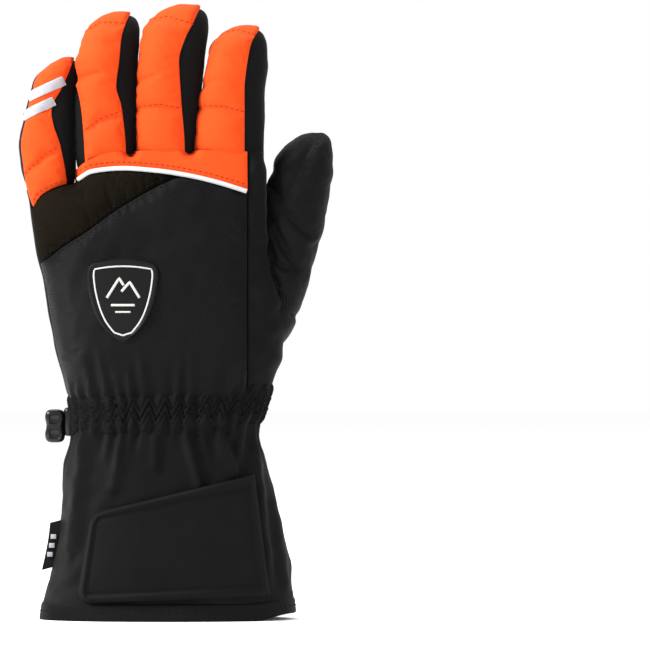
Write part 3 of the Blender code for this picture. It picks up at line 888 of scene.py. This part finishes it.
oliveStrip = layPanel("oliveStrip", body, stripEdges, 26, 90, olive, lift=0.7, pillow=0.9, soft=3,
                      wrinkle=gatherCreases)
settle(indexSide, ["index_side"], "hand")
settle(pinkySide, ["pinky_side"], "hand")
settle(palmStretch, ["palm_stretch"], "hand")
settle(palmGrip, ["palm_grip"], "hand")
settle(oliveStrip, (), "hand")

# the piping follows the frontmost cloth under it
pipingLine = sampled(piping, -45.5, sideSeam)
pipingBed = [band, twillPanel, knucklePanel, handShell]
pipingSides = [castLine(pipingBed, offsetLine(pipingLine, away), 1.2)[:, 1] for away in (-1.2, 0, 1.2)]
pipingPoints = castLine(pipingBed, pipingLine, 1.2)
count = min(len(pipingPoints), *map(len, pipingSides))
pipingPoints = pipingPoints[:count]
front = np.min([side[:count] for side in pipingSides], 0)
pipingPoints[:, 1] = np.convolve(np.pad(front, 2, mode="edge"), np.ones(5) / 5, "valid") - 0.1
pipingCord = cordPiece("piping", pipingPoints, 1.1, pipingCloth)
bandStitches = sew("bandStitches", [band], [offsetLine(sampled(piping, -43, 33), 3.0)], orangeThread)
diagonalRow, palmRow = sampled(diagonal, -60, -3), sampled(palmSeam, -60, 34)
backRows = [offsetLine(diagonalRow, away) for away in (1.6, -1.6)]
backRows.append([(sideSeam - 1.8, 108), (sideSeam - 1.8, 199)])
backStitches = sew("backStitches", [knucklePanel, twillPanel], backRows, blackThread)
palmRows = [offsetLine(palmRow, away) for away in (1.6, 3.2)]
palmRows += [[(oliveInner(z) + away, z) for z in np.linspace(106, 194, 40)] for away in (1.6, 3.2)]
palmStitches = sew("palmStitches", [palmGrip, palmStretch, oliveStrip, handShell], palmRows, blackThread,
                   side=1)
settle(pipingCord, ["piping"], "hand")
for piece in (bandStitches, backStitches, palmStitches):
    settle(piece, body="hand")

print("fingers")
fingers = dict(
    pinky=dict(
        base=192, top=265.0, dome=13.6, tip=-50.0, full=2.05, crotch=206,
        left=through((192, -66.8), (204, -71.2), (216, -73.2), (224, -74.1), (237, -71.5), (247, -69.3),
                     (254, -67.0)),
        right=through((192, -46.5), (205, -46.3), (224, -46.5), (240, -46.4), (254, -45.7)),
        back=through((192, -14.2), (206, -13.4), (224, -12.8), (254, -9.8)),
        palm=through((192, 14.0), (206, 13.0), (224, 13.0), (254, 12.8)),
        orange=through((192, -49.6), (205.7, -50.5), (224, -53.6), (234, -56.8), (240.7, -57.8),
                       (250, -53.4), (257.4, -50.2), (265.6, -47.5)),
        leftEdge=None, wrapLeft=-0.6, folds=[((-68, 238), (-58, 241), 0.9)],
        seams=[[(-70, 209), (-59.6, 218.5), (-48, 224.6)]],
        start=[(-74, 192), (-66.2, 194.8), (-62.6, 199.8), (-57.6, 202.8), (-47, 206.6)],
        grip=(216.5, 248.5)),
    ring=dict(
        base=200, top=286.4, dome=14.2, tip=-24.6, full=2.2, crotch=219,
        left=through((200, -46.8), (214, -47.2), (228, -47.3), (244, -47.4), (250, -46.7), (256.4, -45.7),
                     (263.5, -46.5), (268, -44.9), (274, -43.2)),
        right=through((200, -17.6), (219, -17.1), (242, -16.9), (251, -17.0), (263, -17.2), (274, -16.2)),
        back=through((200, -16.4), (219, -14.8), (240, -15.0), (262, -14.2), (274, -11.6)),
        palm=through((200, 14.4), (219, 14.0), (240, 14.2), (262, 15.0), (274, 15.0)),
        orange=through((200, -22.0), (223, -22.7), (242.3, -24.7), (251.4, -27.0), (263.5, -25.7),
                       (274.6, -24.7), (282, -22.6), (287.2, -20.6)),
        leftEdge=through((200, -41.0), (216, -41.8), (230, -42.6), (241, -43.6), (250, -45.4), (258, -48),
                         (287, -49)), wrapLeft=-0.2, folds=[((-46, 254.5), (-35, 257.5), 1.3)],
        seams=[[(-50, 224.6), (-43.4, 228.1), (-34.3, 234.7), (-24.7, 238.2), (-14, 240)],
               [(-46, 273), (-42.4, 276.1), (-34.3, 280.7), (-24.2, 280.2), (-14, 279)]],
        start=[(-48, 211.6), (-42.4, 213.8), (-33.3, 218.2), (-22.7, 219.8), (-16, 220)], grip=(225, 268)),
    middle=dict(
        base=200, top=289.8, dome=14.0, tip=6.6, full=2.25, crotch=219.4,
        left=through((200, -17.6), (222, -17.9), (242.3, -17.9), (252.4, -17.9), (266.5, -16.8),
                     (272.6, -16.2), (277, -14.8)),
        right=through((200, 9.0), (222, 10.8), (242.3, 12.7), (262.5, 14.2), (269.5, 15.0), (277, 16.4)),
        back=through((200, -16.4), (219, -15.2), (240, -15.4), (264, -14.6), (277, -11.8)),
        palm=through((200, 14.6), (219, 14.2), (240, 14.4), (264, 15.2), (277, 15.2)),
        orange=through((200, 4.6), (222, 5.1), (246.3, 3.5), (263.5, 2.6), (274.6, 5.6), (281.7, 9.1),
                       (290.4, 12.6)),
        leftEdge=None, wrapLeft=-0.25, folds=[((-19, 252.5), (-9, 256), 0.9)],
        seams=[[(-20, 240.2), (-17.1, 240.7), (-7, 241.5), (3, 239.7), (14, 238)],
               [(-20, 280), (-10.6, 282.2), (-3, 283.4), (8.1, 279.7), (18, 276)]],
        start=[(-20, 219.9), (-6, 219.9), (10, 219.8)], grip=(237, 280)),
    index=dict(
        base=200, top=280.0, dome=13.8, tip=34.2, full=2.3, crotch=219.8,
        left=through((200, 9.4), (222, 9.9), (242.3, 11.8), (252.4, 13.5), (261, 15.4), (268, 16.8)),
        right=through((200, 42.8), (222, 42.7), (250, 43.2), (262, 44.4), (268, 44.0)),
        back=through((200, -16.0), (219, -14.8), (240, -15.0), (256, -14.4), (268, -11.6)),
        palm=through((200, 14.6), (219, 14.0), (240, 14.4), (256, 15.0), (268, 15.0)),
        orange=through((200, 34.2), (222, 33.4), (250.3, 33.4), (260.5, 34.4), (271.6, 36.4), (278.1, 39.6),
                       (280.4, 40.6)),
        leftEdge=None, wrapLeft=-0.15, folds=[((12, 251), (21, 254), 0.7)],
        seams=[[(8, 241.2), (13, 241.2), (24, 240.6), (33.4, 237.7), (46, 235.5)],
               [(14, 270), (19.2, 274.6), (29.3, 277.4), (38.4, 274.6), (46, 270)]],
        start=[(6, 219.8), (20, 219.9), (34, 219.4), (46, 219)], grip=(242, 272.5)),
)


def fingerEdges(limb, left, right, low, stop=0.985):
    total = fingerLength(limb)

    def edges(u, v):
        u, v = np.asarray(u, float), np.asarray(v, float)
        z = fingerHeight(limb, total * 0.3 + 0 * u * v)
        for _ in range(8):
            angle = left(z) + (right(z) - left(z)) * u
            x = limbPoint(limb, angle, z)[..., 0]
            start = low(x) - limb["base"]
            z = fingerHeight(limb, start + (total * stop - start) * v)
        return angle, z
    return edges


# a finger's piece gets its place baked into its mesh; level and middle are worked out but not used
def bind(piece, who):
    limb = fingers[who]
    level = limb["crotch"]
    middle = float(limb["left"](level) + limb["right"](level)) / 2
    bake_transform(piece)


# where the orange begins on the little-finger side of a finger
def padStart(limb):
    def at(z):
        edge = np.full(np.shape(z), -math.pi - limb["wrapLeft"])
        if limb["leftEdge"] is None:
            return edge
        return np.maximum(edge, faceAngle(limb, limb["leftEdge"](z), z))
    return at


def foldsOf(limb):
    def at(x, z, gap):
        depth = np.zeros(np.shape(x))
        for start, stop, deep in limb["folds"]:
            depth = depth - deep * np.exp(-(nearLine(x, z, [start, stop]) / 1.7)**2)
        return depth * np.clip(gap / 1.5, 0, 1) + 0.3 * ripple(77, x, z, 20) * np.clip(gap / 3, 0, 1)
    return at


for who, limb in fingers.items():
    total = fingerLength(limb)

    def sleeveProfile(v):
        return fingerHeight(limb, total * v), -0.25 - 3.6 * easing(1 - total * v / 21)

    sleeve = layTube(who + "Sleeve", limb, sleeveProfile, 52, 50, softshell, 0.8, lambda angle,
                     z: 0.35 * ripple(51, angle * 12, z, 18))
    startLine = through(*limb["start"])
    padEdges = fingerEdges(limb, padStart(limb),
                           lambda z: np.minimum(faceAngle(limb, limb["orange"](z), z), -0.12), startLine)
    pad = layPanel(who + "BackPad", limb, padEdges, 40, 76, orange, lift=0.35, pillow=1.7, soft=3.0,
                   seams=limb["seams"], air=3.0, cap=1.0, slack=0.02, wrinkle=foldsOf(limb))
    low, high = limb["grip"]

    def gripEdges(u, v):
        bow = np.sin(math.pi * u)
        z = low + 3.0 * bow * (1 - v) + (high - low) * v + 4 * (bow - 1) * v
        return 0.42 + (math.pi - 0.84) * u + 0 * v, z

    grip = layPanel(who + "Grip", limb, gripEdges, 30, 34, olive, lift=0.35, pillow=0.9, soft=2.2)
    seamRows = [offsetLine(np.array(seam, float), 1.5) for seam in limb["seams"]]
    start = np.array(limb["start"], float)
    baseRow = offsetLine(sampled(startLine, start[0, 0] + 1, start[-1, 0] - 1, 24), 2.0)
    stitches = sew(who + "Stitches", [pad], seamRows + [baseRow] * (who == "pinky"), orangeThread)
    middle = float(limb["left"](low) + limb["right"](low)) / 2
    gripRow = [(middle + 12 * math.cos(t), low + 1.6 + 3.0 * math.sin(t))
               for t in np.linspace(0.5, math.pi - 0.5, 16)]
    gripStitches = sew(who + "GripStitches", [grip], [gripRow, [(x, z + 1.6) for x, z in gripRow]],
                       blackThread, side=1)
    for piece in (sleeve, pad, grip, stitches, gripStitches):
        bind(piece, who)
    settle(sleeve, [who + "_shell", who + "_wadding", who + "_lining"])
    settle(pad, [who + "_back_pad"])
    settle(grip, [who + "_grip"])
    if who == "pinky":
        pinkyPad = pad

pinkyTree = treeOf([pinkyPad, bpy.data.objects["pinkySleeve"]])
for name, node, (ax, az), (bx, bz) in (("pinkyStripeOne", "pinky_stripe_1", (-69.0, 246.4), (-51.8, 254.4)),
                                       ("pinkyStripeTwo", "pinky_stripe_2", (-71.6, 237.4),
                                        (-56.4, 244.8))):
    def stripePlace(u, v):
        dx, dz = bx - ax, bz - az
        size = math.hypot(dx, dz)
        wide = (v - 0.5) * 4.6
        points = []
        for x, z in zip(ax + dx * u - dz / size * wide, az + dz * u + dx / size * wide):
            hit, normal = cast(pinkyTree, x, z)
            inward = 0.0
            while hit is None and inward < 8:
                inward += 0.3
                hit, normal = cast(pinkyTree, x + inward, z)
            points.append((np.array(hit + normal * 0.55 * mm) - origin) / mm)
        return np.array(points)

    stripe = laySheet(name, fingers["pinky"], stripePlace, 26, 5, stripeCloth, 0.5)
    bind(stripe, "pinky")
    settle(stripe, [node])

print("thumb")
thumb = dict(
    base=124, top=229.8, dome=18.0, tip=67.6, full=1.95,
    left=through((124, 16), (140, 26), (156, 34), (170, 38.5), (185, 40.6), (200, 43.0), (212.6, 48.0),
                 (216, 50.4)),
    right=through((124, 45), (138.5, 55.0), (149.9, 58.4), (164.5, 62.6), (179.2, 67.0), (200.4, 71.4),
                  (210, 73.0), (216, 73.5)),
    back=through((124, -9), (140, -10), (156, -9.4), (176, -7.6), (200, -6.8), (216, -4.6)),
    palm=through((124, 17), (140, 19), (156, 20.6), (176, 22), (200, 22.2), (216, 21.2)),
)
thumbSeam = [(67, 227), (62.5, 219), (58, 209), (54, 201), (51, 195), (47, 187)]
thumbTotal = fingerLength(thumb)


def thumbCreases(x, z, gap):
    depth = np.zeros(np.shape(x))
    for line, deep in (([(45, 192), (50, 179), (57, 166)], 3.2), ([(45, 160), (50, 151), (55, 144)], 2.8),
                       ([(44, 178), (47, 169), (54, 165)], 3.2), ([(47, 205), (53, 192), (62, 182)], 2.0),
                       ([(44, 168), (49, 157)], 2.4)):
        depth = depth - deep * np.exp(-(nearLine(x, z, line) / 1.8)**2)
    return depth * np.clip(gap / 4, 0, 1) + 0.7 * ripple(61, x, z, 24) * np.clip(gap / 5, 0, 1)


thumbBackEdges = fingerEdges(thumb, fixed(-math.pi - 0.15), fixed(0.25), fixed(127))
thumbGripEdges = fingerEdges(thumb, fixed(math.pi - 0.2), fixed(math.pi / 2 + 0.4), fixed(150), 0.86)
thumbSleeve = layTube("thumbSleeve", thumb, lambda v: (fingerHeight(thumb, thumbTotal * v), -0.3 + 0 * v),
                      60, 64, softshell, 0.9, lambda angle, z: 0.45 * ripple(63, angle * 14, z, 22))
thumbBack = layPanel("thumbBack", thumb, thumbBackEdges, 56, 84, twill, lift=0.3, pillow=1.5, soft=3.2,
                     seams=[thumbSeam], air=2.0, cap=0.8, slack=0.01, wrinkle=thumbCreases)
thumbGrip = layPanel("thumbGrip", thumb, thumbGripEdges, 30, 70, olive, lift=0.3, pillow=0.9, soft=2.5)
thumbStitches = sew("thumbStitches", [thumbBack], [offsetLine(np.array(thumbSeam, float), 1.4)],
                    blackThread)
for piece in (thumbSleeve, thumbBack, thumbGrip, thumbStitches):
    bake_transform(piece)
settle(thumbSleeve, ["thumb_shell", "thumb_wadding", "thumb_lining"])
settle(thumbBack, ["thumb_back_panel"])
settle(thumbGrip, ["thumb_grip"])

print("strap, badge and small parts")


def roundedSquare(u, v, radius, corners=(1, 1, 1, 1), tall=None):
    x, y = 2 * u - 1, 2 * v - 1
    sx, sy = np.sign(x), np.sign(y)
    high = tall or radius
    dx, dy = (np.abs(x) - 1 + radius) / radius, (np.abs(y) - 1 + high) / high
    inside = (dx > 0) & (dy > 0)
    pickCorner = np.where(sx < 0, np.where(sy < 0, corners[0], corners[3]),
                          np.where(sy < 0, corners[1], corners[2]))
    size = np.hypot(dx, dy)
    factor = np.where(inside & (pickCorner > 0), np.maximum(dx, dy) / np.maximum(size, 1e-6), 1)
    x = np.where(inside, sx * (1 - radius + radius * dx * factor), x)
    y = np.where(inside, sy * (1 - high + high * dy * factor), y)
    return (x + 1) / 2, (y + 1) / 2


strapSize = dict(wide=84, tall=50)
strapCorners = ((-44.8, 8.6), (44.4, 11.8), (36.8, 69.2), (-38.0, 51.0))


def strapSpot(u, v):
    u, v = roundedSquare(u, v, 0.15, (1, 0, 0, 1), 0.3)
    (ax, az), (bx, bz), (cx, cz), (dx, dz) = strapCorners
    x = (ax * (1 - u) + bx * u) * (1 - v) + (dx * (1 - u) + cx * u) * v
    z = (az * (1 - u) + bz * u) * (1 - v) + (dz * (1 - u) + cz * u) * v
    return x, z


def strapPlace(u, v, lift=1.4, rim=1.1):
    x, z = strapSpot(u, v)
    edge = np.minimum(np.minimum(u, 1 - u) * strapSize["wide"], np.minimum(v, 1 - v) * strapSize["tall"])
    border = np.exp(-((edge - 2.2) / 1.5)**2) * rim * easing((1 - u) * strapSize["wide"] / 5)
    base = limbPoint(body, faceAngle(body, x, z, -1), z, lift + 1.3)
    groove, turned = np.exp(-((edge - 4.6) / 0.8)**2), np.exp(-(edge / 0.7)**2)
    base[:, 1] -= border - 0.5 * groove - 0.8 * turned + 0.35 * ripple(71, x, z, 40)
    return base


strap = laySheet("strap", body, strapPlace, 100, 64, twill, 1.4)
strapPath = [(u, 0.088) for u in np.linspace(0.96, 0.08, 50)]
strapPath += [(0.055, v) for v in np.linspace(0.1, 0.9, 24)]
strapPath += [(u, 0.912) for u in np.linspace(0.08, 0.96, 50)]
strapLine = [strapSpot(np.array([u]), np.array([v])) for u, v in strapPath]
strapRow = [(float(x[0]), float(z[0])) for x, z in strapLine]
strapStitches = sew("strapStitches", [strap], [strapRow], blackThread)
strapEnd = sew("strapEndStitches", [strap], [[(42.4, 14), (35.4, 66.5)]], blackThread)


def patchPlace(x0, x1, z0, z1, lift):
    def place(u, v):
        u, v = roundedSquare(u, v, 0.25)
        x, z = x0 + (x1 - x0) * u, z0 + (z1 - z0) * v
        return limbPoint(body, faceAngle(body, x, z, -1), z, lift)
    return place


hook = laySheet("hookPatch", body, patchPlace(-37, -10, 16, 42, 1.15), 24, 20, hookCloth, 0.35, levels=0)
loop = laySheet("loopPatch", body, patchPlace(-38, 0, 14, 42, 0.75), 36, 24, fleece, 0.4, levels=0)
settle(hook, ["hook_patch"], "strap_tab")
settle(loop, ["loop_patch"], "cuff")
for piece in (strap, strapStitches):
    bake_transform(piece)
settle(strapEnd, body="cuff")
settle(strap, ["strap", "strap_anchor"])

badgeSize = dict(x=-23.4, z=150.6, height=37.6)
shieldHalf = through((0, 0.5), (0.02, 2.4), (0.06, 4.6), (0.14, 8.0), (0.3, 12.2), (0.5, 15.0), (0.7, 16.6),
                     (0.84, 17.1), (0.92, 16.6), (0.97, 15.0), (1, 12.4))


def badgePlace(u, v):
    rise = 0.5 - 0.5 * np.cos(math.pi * v)
    half = shieldHalf(rise)
    x = badgeSize["x"] + (2 * u - 1) * half
    z = badgeSize["z"] + (rise - 0.5) * badgeSize["height"] + 1.6 * (1 - (2 * u - 1)**2) * rise**6 - 0.8
    edge = np.minimum(np.minimum(u, 1 - u) * 2 * half, np.minimum(rise * 22, (1 - rise) * 37))
    lift = 1.0 - 1.2 * np.exp(-(edge / 0.6)**2) + 0.5 * np.exp(-((edge - 1.5) / 0.7)**2)
    point = limbPoint(body, faceAngle(body, x, z, -1), z, 2.7)
    point[:, 1] -= lift
    return point


badge = laySheet("badge", body, badgePlace, 48, 48, rubber, 1.4)


# flat marks on the badge: each is an outline of points in mm about the badge's middle
def markPiece(name, outlines, sunk=0.22, proud=0.28):
    tree = treeOf([badge])
    verts, faces = [], []
    for outline in outlines:
        spots = [cast(tree, badgeSize["x"] + x, badgeSize["z"] + z)[0] for x, z in outline]
        n, first = len(spots), len(verts)
        for y in (-proud, sunk):
            verts += [spot + Vector((0, y * mm, 0)) for spot in spots]
        for k in range(n // 2 - 1):
            a, b, c, d = first + k, first + k + 1, first + n - 2 - k, first + n - 1 - k
            faces.append((a, b, c, d))
            faces.append((a + n, d + n, c + n, b + n))
        for k in range(n):
            a, b = first + k, first + (k + 1) % n
            faces.append((a, a + n, b + n, b))
    return meshPiece(name, verts, faces, silver)


def ribbon(line, wide):
    line = np.asarray(line, float)
    left, right = offsetLine(line, wide / 2), offsetLine(line, -wide / 2)
    return list(map(tuple, left)) + list(map(tuple, right[::-1]))


def along(points, count):
    points = np.asarray(points, float)
    lengths = lengthsOf(points)
    places = np.linspace(0, lengths[-1], count)
    return np.stack([np.interp(places, lengths, points[:, k]) for k in (0, 1)], -1)


shieldSide = [(shieldHalf(t) - 3.3, (t - 0.5) * badgeSize["height"] - 0.8)
              for t in np.linspace(0.12, 0.9, 40)]
shieldTop = [(x, 14.6 + 1.4 * (1 - (x / 13.4)**2)) for x in np.linspace(-13.5, 13.5, 30)]
shieldLeft = [(-x, z) for x, z in shieldSide]
shieldPoint = (0.0, -16.4)
emblemRows = [(along([shieldPoint] + shieldSide, 60), 0.75), (along([shieldPoint] + shieldLeft, 60), 0.75),
              (shieldTop, 0.75), (along([(-7.6, 1.2), (-1.8, 10.4), (0.4, 7.0)], 16), 1.2),
              (along([(-0.7, 4.2), (3.2, 8.6), (7.8, 1.2)], 16), 1.2),
              (along([(-5.6, -2.2), (5.6, -2.2)], 12), 1.1), (along([(-3.6, -5.4), (3.6, -5.4)], 12), 0.8)]
emblem = markPiece("badgeEmblem", [ribbon(line, wide) for line, wide in emblemRows])
settle(badge, ["badge"], "hand")
settle(emblem, (), "hand")


def boxPiece(name, low, high, radius, material, segments=3):
    deselect()
    bpy.ops.mesh.primitive_cube_add(size=1)
    piece = bpy.context.object
    piece.name = name
    low, high = world(low), world(high)
    for vertex in piece.data.vertices:
        vertex.co = Vector([low[k] if vertex.co[k] < 0 else high[k] for k in range(3)])
    bevel = piece.modifiers.new("round", "BEVEL")
    bevel.width = radius * mm
    bevel.segments = segments
    applyAll(piece)
    pick(piece)
    bpy.ops.object.shade_smooth()
    paint(piece, material)
    return piece


def labelPlace(u, v):
    z = 24.6 + 22.6 * v
    x = body["left"](z) + 1.2 - 6.2 * u
    y = -1.2 + 0.6 * np.sin(v * 3) - 0.5 * u
    return np.stack([x, y + 0 * x, z - 1.6 * u], -1)


label = gridPiece("label", 10, 30, labelPlace)
thicken(label, 0.6, 1)
paint(label, labelCloth)
settle(label, ["label"], "cuff")
for letter, z in zip("ABC", (29.5, 33.7, 37.9)):
    edge = float(body["left"](z))
    bar = boxPiece("labelBar" + letter, (edge - 3.4, -2.4, z), (edge - 0.8, -1.7, z + 2.2), 0.15,
                   stripeCloth, 2)
    settle(bar, body="cuff")


# the fixed loop on the cuff and the side-release socket that swings on it
clipLoop = boxPiece("clipLoop", (-52.6, -2.7, 86.4), (-43.0, 2.7, 100.2), 2.2, acetal, 5)


def socketPlace(u, v):
    turn = -math.pi + 2 * math.pi * u
    z = 83.4 + 15.8 * v
    level = np.clip(np.abs(2 * v - 1), 0, 1)
    plump = np.clip(1 - level**5, 0.0, 1)**0.5
    waist = 1 - 0.16 * np.exp(-((2 * v - 1) / 0.35)**2)
    c, s = np.cos(turn), np.sin(turn)
    x = -56.6 + 4.9 * waist * np.sign(c) * np.abs(c)**0.55 * (0.35 + 0.65 * plump)
    y = 3.4 * np.sign(s) * np.abs(s)**0.6 * (0.25 + 0.75 * plump) - 0.2
    return np.stack([x, y, z], -1)


socket = gridPiece("clipSocket", 48, 40, socketPlace, ring=True)
closeEnds(socket)
recess = []
for k, (low, high) in enumerate((((-59.2, -6, 92.2), (-54.4, -2.6, 96.6)),
                                 ((-59.2, -6, 85.2), (-54.4, -2.6, 89.6)))):
    cutter = boxPiece("recess" + "AB"[k], low, high, 0.7, acetal)
    cut = socket.modifiers.new("recess", "BOOLEAN")
    cut.operation = "DIFFERENCE"
    cut.solver = "EXACT"
    cut.object = cutter
    recess.append(cutter)
applyAll(socket)
for cutter in recess:
    bpy.data.objects.remove(cutter)
pick(socket)
bpy.ops.object.shade_smooth_by_angle(angle=math.radians(35))
paint(socket, acetal)
settle(clipLoop, ["clip_loop"], "cuff")
settle(socket, ["clip_socket"], "clip")

print("stage")
deselect()
bpy.ops.mesh.primitive_plane_add(size=12)
floor = bpy.context.object
floor.name = "studioFloor"
paint(floor, newMaterial("studio paper", Base_Color=(0.96, 0.96, 0.96, 1), Roughness=0.95)[0])

scene = bpy.context.scene
camera = bpy.data.objects.new("camera", bpy.data.cameras.new("camera"))
scene.collection.objects.link(camera)
camera.data.lens = 300
camera.data.sensor_width = 36
camera.location = world([71.2, -2565, 139.1])
camera.rotation_euler = (math.radians(90), 0, 0)
scene.camera = camera
scene.view_settings.view_transform = "Standard"


def softLight(name, where, aim, size, power):
    light = bpy.data.objects.new(name, bpy.data.lights.new(name, "AREA"))
    scene.collection.objects.link(light)
    light.data.size = size
    light.data.energy = power
    light.location = where
    light.rotation_euler = (Vector(aim) - Vector(where)).to_track_quat("-Z", "Y").to_euler()


softLight("keyLight", (-1.2, -0.6, 1.25), (0, 0, 0.14), 0.45, 62)
softLight("fillLight", (1.5, -0.9, 0.5), (0, 0, 0.14), 0.8, 5)
softLight("topLight", (0.1, 0.5, 1.7), (0, 0, 0.1), 1.2, 16)
if scene.world is None:
    scene.world = bpy.data.worlds.new("world")
scene.world.use_nodes = True
scene.world.node_tree.nodes["Background"].inputs["Color"].default_value = (1, 1, 1, 1)
scene.world.node_tree.nodes["Background"].inputs["Strength"].default_value = 1.0
